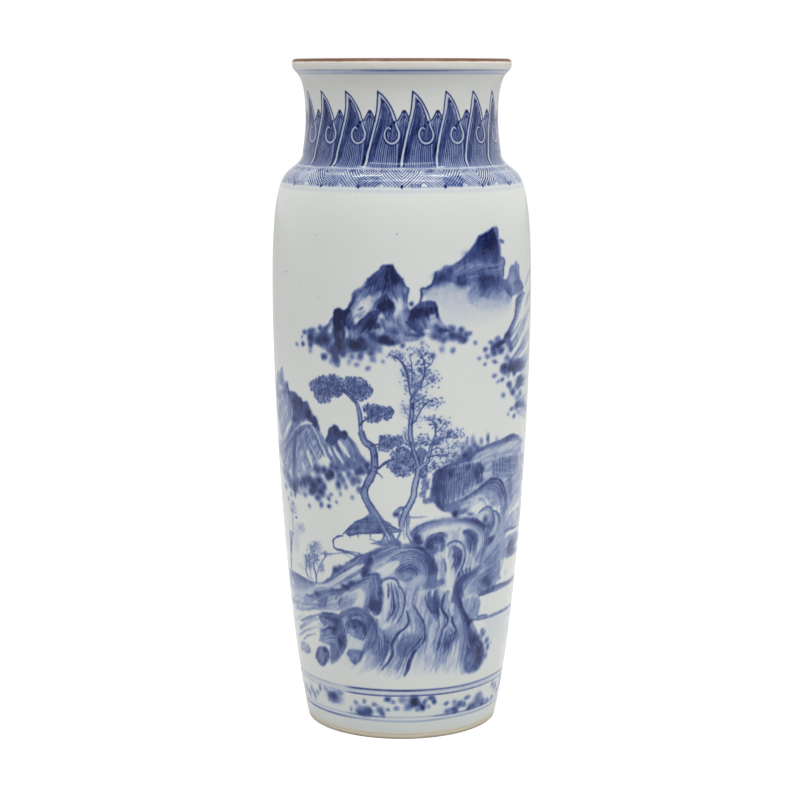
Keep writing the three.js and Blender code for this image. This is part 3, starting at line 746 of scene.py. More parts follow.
# The near mountain at the left, its ridges combed down to both sides.
def leftMountain():
    wash([-61, 164, -57, 168, -54.6, 176, -56, 192, -57, 204, -59, 200, -61, 184], 0.5, 1.6, 0.35, 84, 34)
    crest = [-84, 232, -80, 236, -75.5, 241, -73, 243.6, -69.6, 245, -67.6, 248, -65.6, 247, -64.6, 242,
        -63.6, 238.6, -60.6, 239.6, -59.6, 234, -57, 233.6, -54, 233.8, -52, 231, -49.8, 231, -48.4, 228,
        -46, 229.6, -44.6, 227, -43.4, 221.6, -41, 219.6, -39.6, 216, -38, 210, -36, 205.6]
    wash(crest + [-37, 196, -40, 190, -44, 182, -50, 178, -58, 180, -66, 178, -74, 182, -84, 190], 0.5,
        1.0, 0.4, 52, 41)
    wash([-60, 182, -50, 184, -44, 180, -42, 168, -50, 164, -60, 164, -70, 168, -72, 178], 0.32, 1.6, 0.4,
        84, 45)
    wash([-60.4, 238, -59.4, 233.6, -54, 233, -52, 230.6, -49.8, 230.6, -48.4, 227.6, -46, 229,
        -44.6, 226, -43, 221, -40.6, 218.6, -38.4, 211, -40.6, 210.6, -44, 215, -48, 217, -53, 215,
        -57, 212, -61, 217, -62, 226], 0.84, 1.0, 0.35, 50, 42)
    dabs([(-54.6, 226, 2.2, 6.0, 0.8), (-45.4, 220, 2.8, 4.6, 0.92), (-47.4, 225, 2.4, 3.0, 0.72),
        (-41.6, 215.6, 2.0, 3.6, 0.86), (-51.4, 228, 2.2, 2.6, 0.82), (-63.4, 230, 2.8, 4.6, 0.66),
        (-61.6, 236, 1.7, 2.6, 0.7), (-55, 215, 2.0, 2.6, 0.78), (-68, 240, 2.6, 4.6, 0.45),
        (-74, 234, 3, 5, 0.36), (-52, 220, 2, 4, 0.7)])
    ridges = [([-43.6, 219, -48, 217.6, -53, 214, -58, 208, -63, 200.5, -66, 197], 2.6, 0.78),
        ([-53, 223, -58, 218, -63, 211.4, -68, 206], 3.2, 0.52),
        ([-60, 224, -65, 217, -70, 210, -76, 203], 3.4, 0.36),
        ([-45.4, 212.8, -49.4, 210.4, -54, 206, -58.6, 201.4, -63, 196, -68, 190.6], 3.6, 0.8),
        ([-55, 205, -60, 197, -65, 189, -71, 181], 3.0, 0.62),
        ([-57, 198, -62, 189.6, -66, 184], 2.0, 0.66), ([-68, 197, -74, 190, -82, 184], 4, 0.42),
        ([-70, 214, -76, 206, -84, 198], 5, 0.22),
        ([-45.4, 212.8, -42, 207.6, -39.4, 200.6, -36.4, 193.6], 2.2, 0.8),
        ([-47.6, 208.6, -45, 202, -42.4, 196, -40.4, 190], 1.9, 0.72),
        ([-48.6, 206, -46.6, 200, -43.6, 193.6, -41.6, 190], 1.4, 0.8),
        ([-52, 204.6, -50.4, 198, -47.6, 191, -45.4, 185.4], 3.0, 0.6),
        ([-40, 213, -38.4, 206, -35.4, 198.6, -32.6, 193], 2.4, 0.6),
        ([-54.6, 207, -56.4, 199, -57.6, 190, -58.4, 180, -58.6, 172, -58, 166], 4.0, 0.84),
        ([-54, 196, -52.6, 188, -50.6, 181], 2.6, 0.5), ([-62, 199, -66.6, 192, -72, 186], 2.4, 0.6),
        ([-60.6, 187, -63.6, 181, -67, 176], 2.4, 0.56), ([-51, 213.4, -55, 209.6, -59, 205], 1.6, 0.66)]
    # bare paper between the ridges
    for points, width in (([-43.4, 214.6, -47, 214, -51, 211.6, -55.4, 207.6], 1.9),
            ([-43, 212, -40.4, 206, -37.6, 199, -34, 192.4], 1.6),
            ([-58.4, 213, -63, 207, -67.4, 200], 2.2), ([-63, 222, -68, 214.6, -73, 208], 1.6),
            ([-60.6, 194, -64.4, 187.6, -66.6, 182], 3.2), ([-48, 197, -45.6, 190, -44, 185], 3.0),
            ([-44.4, 200, -42, 194, -39.6, 188], 1.8), ([-52, 187, -50, 182], 3.0)):
        stroke(points, width, how="light", dark=0.04, start=0.4, end=0.4, soft=0.6, dry=0.25)
    for i, (points, width, dark) in enumerate(ridges):
        stroke(points, width, dark, 0.5, 0.6, 0.3, 0.5, 60 + i)
    flow([-50, 212, -56, 205, -62, 198], [-44, 205, -47, 196, -50, 188], 10, 0.8, 0.7, 0.4, 60, 0.35, 0.2)
    dabs([(-47, 176, 2.6, 3.6, 0.8), (-43.6, 172.6, 3.8, 5.4, 0.86), (-40, 176.6, 3.0, 3.4, 0.84),
        (-39.4, 169, 3.2, 4.4, 0.82), (-37.4, 173, 2.0, 3.0, 0.76), (-45.4, 168.4, 2.0, 2.8, 0.82),
        (-41.6, 164.6, 2.2, 2.6, 0.72), (-39.6, 160.6, 1.7, 2.6, 0.6), (-50.4, 173.6, 2.2, 4.6, 0.78),
        (-53, 172, 1.7, 3.6, 0.66), (-50, 164.8, 1.7, 2.0, 0.52), (-47.4, 158.2, 1.4, 2.0, 0.5),
        (-56, 172, 2.2, 3.6, 0.62), (-58.6, 168, 2.4, 4.2, 0.84), (-59, 162.6, 1.5, 2.4, 0.56),
        (-62.6, 170, 2.6, 5.0, 0.62), (-65.4, 174, 2.4, 4.4, 0.6), (-63, 162, 1.7, 2.4, 0.45),
        (-66.8, 158, 1.6, 1.9, 0.4), (-61.6, 156, 1.4, 2.0, 0.5), (-64, 150.4, 1.4, 1.6, 0.46),
        (-69, 165.4, 2.6, 2.6, 0.5), (-70, 176, 3.0, 4.4, 0.5), (-76, 178, 3.0, 4.4, 0.4),
        (-41, 184, 3.2, 4.4, 0.74), (-37, 184.6, 2.6, 3.2, 0.74), (-35, 180.6, 2.0, 3.6, 0.86),
        (-33, 182.4, 1.9, 4.2, 0.97), (-32.6, 188, 1.7, 2.6, 0.72), (-30, 186.6, 2.2, 3.2, 0.74),
        (-28.6, 182, 1.9, 3.4, 0.66), (-29.6, 176, 1.9, 4.4, 0.7), (-27, 179, 1.7, 3.4, 0.6),
        (-26.6, 187, 2.4, 2.6, 0.62), (-35, 165.6, 1.3, 2.4, 0.62), (-35, 160.4, 1.5, 1.8, 0.76),
        (-33.6, 168.6, 1.2, 1.7, 0.52), (-30.8, 163.8, 0.9, 1.4, 0.55), (-24, 183.6, 2.0, 3.4, 0.6),
        (-25.6, 175, 1.3, 2.4, 0.5), (-22, 178, 1.5, 3.0, 0.55), (-20.4, 184.6, 1.5, 2.6, 0.6),
        (-22.6, 168, 1.2, 2.0, 0.45), (-28.6, 169.6, 1.2, 2, 0.5)])
    # the lower hump
    wash([-36, 205, -34.6, 208, -33.6, 213, -32, 214, -30.4, 216.2, -28.8, 214.6, -27.4, 212.2,
        -25, 212.8, -23.8, 210, -22.6, 206, -20.4, 201.6, -18.4, 196, -16, 191, -13, 187, -17, 184,
        -24, 187, -31, 188, -35, 194, -37, 200], 0.58, 0.8, 0.4, 108, 43)
    wash([-36, 204.4, -34.6, 208, -33.6, 213, -32, 214, -30.4, 216, -28.8, 214.4, -27.4, 212, -25, 212.6,
        -24, 209, -25.4, 205.6, -28, 207, -29.6, 203.6, -32, 201.6, -34.4, 202.6], 0.95, 0.8, 0.15, 100,
        44)
    for points, width in (([-28.6, 205, -26, 200, -23.6, 195], 2.4),
            ([-31.6, 200.4, -29, 195, -26.6, 190.6], 2.0), ([-34.6, 200, -32.4, 195], 1.6)):
        stroke(points, width, how="light", dark=0.05, start=0.4, end=0.4, soft=0.5)
    for i, (points, width, dark) in enumerate([([-30, 204, -28, 198.6, -25.4, 192.4], 1.2, 0.85),
            ([-23.6, 207.6, -21, 202.4, -18.4, 196, -15.4, 190], 2.8, 0.78),
            ([-33, 201, -31, 195.6, -28.4, 190], 1.6, 0.7),
            ([-24.6, 205, -22.6, 199, -20, 192], 2.6, 0.62),
            ([-35.6, 202, -34.6, 196, -32, 190], 2.0, 0.64)]):
        stroke(points, width, dark, 0.4, 0.6, 0.4, 0.5, 90 + i)
    wash([-71, 202, -67, 228, -61, 231, -57, 220, -61, 206, -66, 200], 0.36, 1.8, 0.5, 74, 38, "light")


# A mass of needles: a thin wet wash under crowded upright flecks, thickest toward the scalloped edge.
def foliage(t, z, a, b, dark=0.85, count=60, seed=0, wet=0.4, fleck=(0.5, 0.9)):
    rng = np.random.default_rng(seed)
    corners = 16
    edge = []
    for k in range(corners):
        turn = 2 * math.pi * k / corners
        r = 0.84 + 0.2 * (k % 2) + rng.uniform(-0.09, 0.09)
        edge.append((t + a * r * math.cos(turn), z + b * r * math.sin(turn)))
    if wet > 0:
        wash(edge, wet, 0.9, 0.25, 90, seed)
    for k in range(int(count * 1.9)):
        turn = rng.uniform(0, 2 * math.pi)
        r = rng.uniform(0, 1) ** 0.42 * 1.04
        dab(t + a * r * math.cos(turn), z + b * r * math.sin(turn), fleck[0] * rng.uniform(0.6, 1.3),
            fleck[1] * rng.uniform(0.6, 1.4), dark * rng.uniform(0.6, 1.05), rng.uniform(-35, 35), 0.6)


# Small separate leaves scattered over a thin wash.
def leaves(t, z, a, b, dark=0.7, count=40, seed=0, wet=0.12):
    rng = np.random.default_rng(seed)
    if wet > 0:
        dab(t, z, a * 1.1, b * 1.1, wet, 0, 1.2)
    for _ in range(int(count * 2.2)):
        x, y = rng.normal(0, 0.5, 2)
        dab(t + a * x, z + b * y, rng.uniform(0.35, 0.7), rng.uniform(0.4, 0.85),
            dark * rng.uniform(0.5, 1.15), rng.uniform(-50, 50), 0.5)


# A trunk with two dark edges and a paler middle, its edges knotted.
def trunk(points, width, dark=0.9, inside=0.5, seed=0, taper=0.3):
    stroke(points, width, inside, 0.2, 0.9, 1 - taper, 0.6, seed, "over")
    run = np.array(points, float).reshape(-1, 2)
    run[:, 0] *= math.radians(80.0)
    along = np.gradient(run, axis=0)
    size = np.maximum(np.hypot(along[:, 0], along[:, 1]), 1e-6)
    side = np.column_stack([-along[:, 1], along[:, 0]]) / size[:, None]
    reach = width / 2 * np.linspace(1, 1 - taper, len(run))
    for k, turn in enumerate((1, -1)):
        knots = 1 + 0.16 * np.sin(np.arange(len(run)) * 2.3 + seed + 2 * k)
        edge = run + side * (reach * turn * knots)[:, None]
        edge[:, 0] /= math.radians(80.0)
        stroke(edge, width * 0.3, dark, 0.15, 0.8, 0.6, 0.35, seed + k)


# The pine at the left: a bending trunk that carries pads of needles.
def leftPine():
    # moss behind the trunk, and roots over the mound
    dabs([(-22, 180, 2.4, 3.4, 0.56), (-19.4, 174, 1.6, 3.0, 0.6), (-24, 190, 2.6, 3.4, 0.6),
        (-18.6, 186, 2.8, 3.6, 0.76), (-15.4, 190.6, 2.2, 3.0, 0.72), (-19.6, 180, 1.9, 2.8, 0.56),
        (-14, 186, 1.9, 2.6, 0.7), (-21, 190, 2.2, 3.0, 0.6), (-17.6, 193.4, 1.9, 2.6, 0.62)])
    for k, (points, width, tone) in enumerate([
            ([-14, 166, -12, 160, -10, 154, -8.6, 147, -8, 140, -8.6, 136], 1.3, 0.62),
            ([-13.4, 164, -10, 157, -6.6, 150, -4.4, 144, -3, 139, -1, 136.6], 1.7, 0.72),
            ([-16, 168, -14.6, 162, -13.6, 158], 1.4, 0.7), ([-9, 152, -7.6, 145, -6, 138], 0.9, 0.6),
            ([-6, 149, -3.6, 143, -2.6, 138], 0.9, 0.7)]):
        stroke(points, width, tone, 0.3, 0.8, 0.5, 0.5, 180 + k)
    wash([-15, 138, -9, 140.6, -1, 141, -1, 137, -8, 136], 0.6, 0.9, 0.3, 10, 73)
    trunk([-18, 212, -17.2, 209, -16, 206, -13.5, 203, -12.4, 200, -12, 195, -12.2, 190, -12.4, 186,
        -14, 182, -15.6, 178, -16.5, 174, -16.8, 170, -15.4, 165, -12.6, 159], 3.4, 0.94, 0.62, 1, -0.2)
    trunk([-26, 239.6, -23, 236, -21, 233, -19.6, 230, -18.6, 226, -18.2, 220, -18, 214, -17.4, 209], 1.9,
        0.92, 0.6, 3, -0.3)
    for k, (points, width, tone) in enumerate([
            ([-18.4, 216.6, -16.6, 219.4, -14, 222, -11, 223.6], 1.3, 0.88),
            ([-12, 189.6, -10.4, 188.6, -8.4, 191, -6, 193.4, -3.4, 195.4], 1.5, 0.88),
            ([-13.4, 203, -11, 204.4, -8, 204.6], 1.2, 0.82),
            ([-12.2, 187, -9.6, 184.4, -8.4, 182], 1.0, 0.75),
            ([-23, 236.4, -26.4, 238, -30, 238.6], 1.4, 0.85),
            ([-20, 231, -21.4, 236, -20.6, 240], 1.1, 0.8),
            ([-16, 176, -18.4, 174.6, -18.8, 171], 1.2, 0.7), ([-12, 196, -10.4, 198.6], 1.0, 0.8)]):
        stroke(points, width, tone, 0.1, 0.9, 0.4, 0.4, 190 + k)
    for k, (t, z, a, b, dark, count) in enumerate([(-34.6, 240.6, 6.6, 6.4, 0.84, 110),
            (-36.6, 233.6, 4.6, 4.8, 0.8, 56), (-30, 239.4, 4.0, 6.2, 0.84, 64),
            (-41.4, 239.6, 3.0, 4.0, 0.74, 34), (-30.4, 244.4, 4.0, 4.4, 0.84, 44),
            (-19.6, 242, 5.0, 6.0, 0.86, 70), (-23.6, 242.6, 3.4, 5.2, 0.84, 44),
            (-15.8, 239.4, 3.2, 5.0, 0.82, 44), (-18.8, 236, 3.6, 3.6, 0.8, 34),
            (-12.6, 227.4, 4.4, 3.8, 0.86, 50), (-8.4, 225, 5.0, 4.8, 0.86, 66),
            (-12.4, 221.4, 3.8, 2.8, 0.8, 34), (-6.6, 206.6, 4.0, 4.4, 0.82, 52),
            (-7.4, 202.4, 3.4, 3.0, 0.72, 26), (-2.4, 207, 3.4, 3.8, 0.72, 34),
            (0, 197.6, 5.0, 5.0, 0.8, 70), (0.6, 188.6, 5.4, 5.4, 0.82, 74),
            (-3.4, 191.6, 3.6, 4.0, 0.72, 32), (9, 187, 2.4, 5.0, 0.76, 34), (4, 195, 2.2, 6.0, 0.6, 24)]):
        foliage(t, z, a, b, dark * 0.94, count, 100 + k, 0.5, (0.42, 0.8))


# The tall tree beside it, forked above its foot, with thin leaves.
def forkedTree():
    for k, (points, width, tone) in enumerate([
            ([1, 162, -1.6, 160, -1.4, 154, -0.6, 147, -2, 141, -1, 137], 1.2, 0.7),
            ([1.6, 160, 2.4, 154, 2, 147, 3.4, 141, 4.6, 138], 1.1, 0.75),
            ([2.4, 164, 3.4, 156, 3.2, 149, 5, 142], 0.8, 0.6),
            ([0.6, 156, 0.6, 148, 1.4, 141], 0.8, 0.6), ([2, 163, -1, 162.4, -3.4, 160], 1.2, 0.7)]):
        stroke(points, width, tone, 0.25, 0.8, 0.5, 0.5, 170 + k)
    trunk(
        [8.4, 196, 8, 192, 7.2, 188, 6.6, 183, 5.8, 177, 5.2, 171, 3.6, 165, 1.8, 160, 0.4, 155, 0, 150],
        3.0, 0.88, 0.42, 9, -0.1)
    left = [(7.4, 190), (6.6, 193), (6, 197), (5.2, 201), (4.2, 206), (3.8, 211), (3.7, 217), (4, 222),
        (4.3, 228), (4.2, 234), (3.6, 238), (3, 242), (2.8, 246), (2.4, 250), (1.6, 254), (0.6, 257),
        (-1, 260), (-3, 262), (-5.4, 263.6)]
    trunk(left[:10], 2.5, 0.92, 0.5, 21, 0.2)
    stroke(left[8:], 1.3, 0.88, 0.05, 0.9, 0.3, 0.4, 22)
    trunk([4.4, 233, 5.4, 238, 7, 242, 8.2, 247], 1.7, 0.88, 0.4, 23, 0.4)
    wash([3, 250, 8.4, 250, 7, 240, 8, 230, 5, 224, 4, 236], 0.3, 0.9, 0.4, 90, 8)
    right = [(7.4, 188), (9, 190.4), (11, 193), (12, 197.6), (12.6, 202), (14, 205.4), (14.7, 210),
        (14.5, 215), (14, 218), (12.6, 220.6), (11, 221.4)]
    trunk(right[:7], 2.0, 0.86, 0.4, 24, 0.35)
    stroke(right[6:], 0.9, 0.85, 0.05, 0.9, 0.4, 0.4, 25)
    twigs = [
        ([4.4, 235, 6, 239, 7.6, 242, 8.6, 246, 9.4, 250, 9.7, 254, 9.4, 258, 8.6, 262, 7, 265.4], 0.9),
        ([3.8, 217.6, 5.8, 220.4, 7, 224, 8.2, 227.4, 9.6, 230, 11.2, 232.4, 13.2, 233.2, 15, 231.6], 0.8),
        ([3.4, 241, 4.4, 244, 4.3, 250, 4.2, 256, 3, 264], 0.6),
        ([13.8, 203.6, 16, 207, 18, 208, 21.4, 208.6, 25, 207.4], 0.75), ([18, 208, 18.2, 211.6], 0.5),
        ([20.4, 208.6, 21.2, 212], 0.5), ([9.4, 230, 9, 233.6, 9.6, 237], 0.55),
        ([8.8, 248, 11.4, 251, 13.4, 252], 0.5), ([9.6, 254, 12.4, 257, 13.6, 261], 0.5),
        ([2.6, 248, 0.4, 250.4, -0.6, 254], 0.5), ([14.6, 212, 17, 214.6, 18.6, 218], 0.6),
        ([4.2, 205, 2, 208, 1.4, 212], 0.5), ([11.6, 195.6, 15, 197, 19, 196.4, 22, 198], 0.7),
        ([3.8, 222, 2, 225, 1, 229], 0.5), ([4.2, 229, 5.6, 232.4, 8, 234], 0.5),
        ([9, 262, 11, 264.6], 0.5), ([-1, 260, -1.8, 263], 0.45), ([12.4, 200, 16, 201.6, 19, 201], 0.6),
        ([14, 205, 12, 208, 11, 212], 0.5)]
    for k, (points, width) in enumerate(twigs):
        stroke(points, width, 0.85, 0.05, 0.9, 0.3, 0.35, 120 + k)
    wash([6.2, 199, 7, 202.4, 8.4, 203, 10.4, 201.4, 11.4, 199, 10.6, 195.6, 9, 192, 7.4, 193], 0.66, 0.8,
        0.2, 80, 7)
    for k, (t, z, a, b, dark, count) in enumerate([(3.4, 250, 4.4, 10, 0.68, 46),
            (9, 252, 3.8, 12, 0.68, 62), (13.4, 247, 3.0, 4.4, 0.62, 24), (-1.6, 263, 4.4, 3.4, 0.6, 26),
            (12.4, 231.6, 4.8, 4.4, 0.62, 30), (6.6, 234, 3.0, 6.0, 0.66, 30),
            (16.4, 217.6, 4.4, 4.8, 0.68, 36), (12, 221.6, 2.8, 2.4, 0.62, 14),
            (21.4, 210.6, 6.0, 4.0, 0.7, 46), (16, 207, 4.0, 3.2, 0.62, 22),
            (18.4, 198, 6.4, 6.6, 0.66, 46), (14, 191, 4.0, 5.4, 0.7, 36), (22.4, 192, 4.4, 4.4, 0.6, 26),
            (2, 211, 2.4, 5.0, 0.5, 16), (1.4, 228, 2.6, 5.0, 0.45, 14), (7, 265, 4.4, 4.0, 0.6, 26),
            (5, 243, 3.4, 5.6, 0.55, 22), (9, 207, 3.4, 4.4, 0.66, 26), (6.4, 222, 3.0, 5.0, 0.5, 16),
            (25, 203, 4.0, 4.0, 0.5, 20), (4, 204.6, 4.0, 2.6, 0.7, 22), (14, 204.8, 4.4, 2.4, 0.7, 24)]):
        leaves(t, z, a, b, dark * 0.94, int(count * 0.85), 140 + k, 0.16)


# The hut on the bank, beside the foot of the trees.
def hut():
    wash([-27.4, 143.4, -25, 147, -22, 151, -19, 153.4, -16, 156.4, -14.4, 158, -12, 156, -8, 154,
        -4, 150.4, -0.6, 147.4, -6, 146, -12, 145, -20, 144.4, -24.4, 141.4], 0.72, 0.7, 0.25, 8, 71)
    stroke([-28, 142.6, -25.4, 146.6, -22, 151, -19, 153.4, -16, 156.4, -14.4, 158], 0.9, 0.85, 0.1)
    stroke([-14.4, 158, -11, 155.6, -7, 153, -3.6, 149.6, -0.2, 147], 0.8, 0.8, 0.1)
    stroke([-25, 142.4, -19, 144.4, -11, 145.2, -4, 146, 0, 147], 1.3, 0.84, 0.1, 0.6, 0.4)
    flow([-24, 146, -17, 154], [-14, 147, -5, 150], 5, 0.5, 0.75, 0.2, 72, 0.2)
    for t, low in ((-24.6, 140.4), (-20.4, 141), (-14.6, 141.6)):
        stroke([t, 145, t + 0.1, low], 0.8, 0.75, 0.1)
    stroke(
        [-28, 141.4, -31, 140.6, -33.2, 138, -33.5, 134, -32.4, 132, -29, 131.5, -24, 131, -19.6, 130.4],
        1.1, 0.86, 0.1)
    stroke([-32, 131, -25, 130, -21.6, 128.2, -24, 125, -27.4, 123], 1.2, 0.76, 0.1)
    stroke([-38, 126.5, -33, 128.5, -28, 129.2, -24, 127], 0.7, 0.55, 0.1)
    stroke([-15, 141, -10, 139, -6, 138.4], 0.8, 0.55, 0.1)
    dabs([(-12, 150, 1.9, 2.0, 0.5), (-18, 148, 1.6, 1.6, 0.5), (-2.6, 158, 1.8, 2.4, 0.8),
        (0.4, 157, 1.2, 2.0, 0.76)])
    trunk([-13.6, 163, -11.4, 157, -9, 151, -7.4, 146, -5, 140], 2.5, 0.88, 0.3, 26, 0.2)
    lines([([-8, 147, -8.4, 142, -10.4, 138], 1.0, 0.8), ([-6.6, 147, -3.4, 142, -0.6, 139], 1.0, 0.8)],
        170)


# The low hill at the right, with its two dark hatched faces over the arch of the first rocks.
def hatchedHill():
    wash([12.8, 166, 13.2, 180, 15.4, 188, 22, 190, 30, 196, 38, 200, 50, 202, 60, 203, 70, 200, 76, 190,
        76, 162, 62, 150, 55, 146, 51, 156, 44, 164, 36, 161, 28, 158, 20, 159], 0.4, 1.2, 0.45, 12, 79)
    wash([56, 170, 55, 160, 58, 156, 64, 158, 70, 158, 78, 170, 80, 190, 74, 197, 66, 199, 64, 190,
        68, 180, 64, 176], 0.3, 1.6, 0.3, 10, 80)
    ribbons([([29, 196.5, 34, 198.5, 37.5, 200.5, 42, 201.2, 50, 202.6, 58, 204.6, 63, 202.8, 68, 200.6,
        73, 197.6],
        [27, 190.5, 33, 193, 37, 195.6, 42, 197.6, 48, 198.6, 54, 199, 60, 199, 66, 197.6, 72, 193],
        (0.74, 0.62, 0.4), (0.85, 1, 1.1, 0.9), 0.35, 0.2),
        ([45, 193, 50, 193.6, 57, 194, 62, 193.4, 64.6, 190],
            [45, 190, 50, 190.6, 56, 191, 60, 190.6, 63, 188], (0.4, 0.3), (1,), 0.3, 0.3)], 800)
    dabs([(25.6, 193, 2.2, 2.4, 0.62), (28.6, 195.6, 2.6, 3.6, 0.78), (30.6, 193, 2.4, 3.0, 0.74),
        (27.6, 200.4, 1.6, 2.8, 0.6), (31.4, 198.6, 2.2, 3.6, 0.66), (33.6, 202, 1.6, 3.2, 0.6),
        (29.6, 204, 1.4, 4.2, 0.45), (32.6, 205, 1.3, 4.0, 0.42), (37.4, 203.6, 1.4, 3.2, 0.5),
        (41.2, 204.6, 1.3, 4.4, 0.6), (47, 203.4, 1.6, 2.2, 0.3), (56, 201.6, 3.4, 2.2, 0.72),
        (24, 197, 1.8, 2.6, 0.55), (22.6, 192, 2.2, 2.2, 0.5), (35.4, 199.6, 2.0, 2.6, 0.6)])
    # the arch below the hatched faces
    ribbons([([16.5, 163, 24, 165, 30, 168, 36, 171.6, 40, 175, 45, 177.4, 50, 176, 53, 173, 55.4, 168,
        57, 162, 57.6, 155, 57.4, 149],
        [20, 158, 24.6, 160, 29, 163, 33.6, 166.6, 37.6, 168.6, 41.6, 169.6, 45.6, 168, 48.6, 164.4,
            51, 159, 53.4, 153, 54.6, 148, 55, 144], (0.9, 0.74, 0.6, 0.5), (0.9, 0.95, 1, 1, 1, 0.9),
        0.4, 0.25)], 803)
    wash([32, 161, 34, 166, 38, 168, 41, 166, 43, 160, 41, 157, 36, 157], 0.14, 2.0, 0.3, 70, 4, "light")
    wash([20, 163, 24, 165, 27, 162.6, 27.6, 158.6, 25, 156, 21, 158.6], 0.6, 1.4, 0.3, 70, 85)
    flow([34, 165, 38, 163, 40, 158], [46, 168, 50, 163, 52, 155], 9, 0.8, 0.55, 0.3, 88, 0.3, 0.2)
    dabs([(25, 156.4, 1.8, 3.2, 0.92), (29, 157.6, 3.6, 2.2, 0.6), (33, 155.4, 2.6, 1.8, 0.55),
        (47, 160, 2.4, 3.0, 0.4), (37, 177, 3.4, 3.0, 0.6), (47, 184, 2.6, 4.0, 0.6),
        (60, 166, 2.6, 6.0, 0.55), (62, 160, 2.4, 2.6, 0.5), (59, 173, 2.6, 3.4, 0.55)])
    lines([([37, 171.4, 41, 175, 45, 177.2, 49, 176.2, 52, 173.6, 54.4, 169], 1.2, 0.88),
        ([41, 174, 44, 175, 48, 173.6, 51, 170, 52.4, 165], 0.8, 0.7),
        ([40, 168, 44, 170, 48, 167.6, 50.4, 162], 0.7, 0.6),
        ([43, 164, 46.6, 164, 49, 160, 50, 154], 0.7, 0.55), ([54.6, 168, 57, 162, 57.6, 154], 1.6, 0.75)],
        86)
    # the two hatched faces
    wash([12.4, 168, 12.8, 177, 13.6, 184, 15.4, 187.4, 18.4, 188.4, 18.4, 180, 18, 172, 18.6, 164,
        19.8, 159.6, 17.4, 161, 15.4, 164], 0.82, 0.9, 0.2, 88, 81)
    ribbons([([17.6, 189, 17.4, 180, 17.6, 171, 18.6, 161],
        [39.4, 190, 39.6, 185, 37.4, 179, 31.6, 170.6], (0.88, 0.62, 0.46, 0.44, 0.54, 0.5),
        (1, 1, 0.92, 0.8), 0.6, 0.16)], 810)
    for k in range(17):
        t = 18.6 + 1.22 * k
        low = 164 + 1.0 * max(k - 3, 0) + 2.6 * (k % 2)
        stroke([t, 189.4 - 1.4 * (k % 3 == 1), t + 0.5, (188 + low) / 2, t + 0.1, low], 0.9, 0.92, 0.2,
            0.8, 0.3, 0.4, 300 + k)
    dabs([(35.6, 182, 1.6, 3.6, 0.85), (38.4, 184.6, 1.8, 2.6, 0.76), (31, 187.6, 1.3, 2.4, 0.85),
        (22, 184, 1.4, 3.4, 0.85)])
    ribbons([([44.6, 189, 50, 190.4, 55, 189.4, 60, 189.6, 66.6, 187.4],
        [44.6, 180, 50, 176.6, 56, 175, 62, 174, 68, 176], (0.46, 0.52, 0.5, 0.46), (1, 1, 1), 0.4, 0.15)],
        814)
    for k in range(11):
        t = 45.6 + 2.1 * k
        stroke([t, 188.8 - 1.6 * (k % 3 == 1), t + 0.5, 184, t, 178.4 + 2.6 * (k % 2)], 0.9, 0.8, 0.25,
            0.8, 0.25, 0.4, 320 + k)
    lines([([16.6, 187.4, 22, 190, 27, 191.4, 31, 193, 35, 196.6, 39, 199], 1.6, 0.84),
        ([15.6, 163.4, 19.4, 159], 1.4, 0.8), ([2, 156.4, 6, 155.8, 11.6, 156.2], 0.8, 0.66),
        ([53.4, 187, 57, 186, 61, 187.4], 1.2, 0.8), ([46, 192.4, 47, 191], 1.6, 0.6)], 90)
    foliage(10.2, 179, 2.0, 5.0, 0.6, 26, 200, 0.3, (0.5, 1.0))
    foliage(9.4, 171.4, 1.6, 2.6, 0.6, 14, 201, 0.3, (0.5, 0.9))
    foliage(11.6, 166.6, 2.2, 2.4, 0.6, 14, 202, 0.3, (0.5, 0.9))


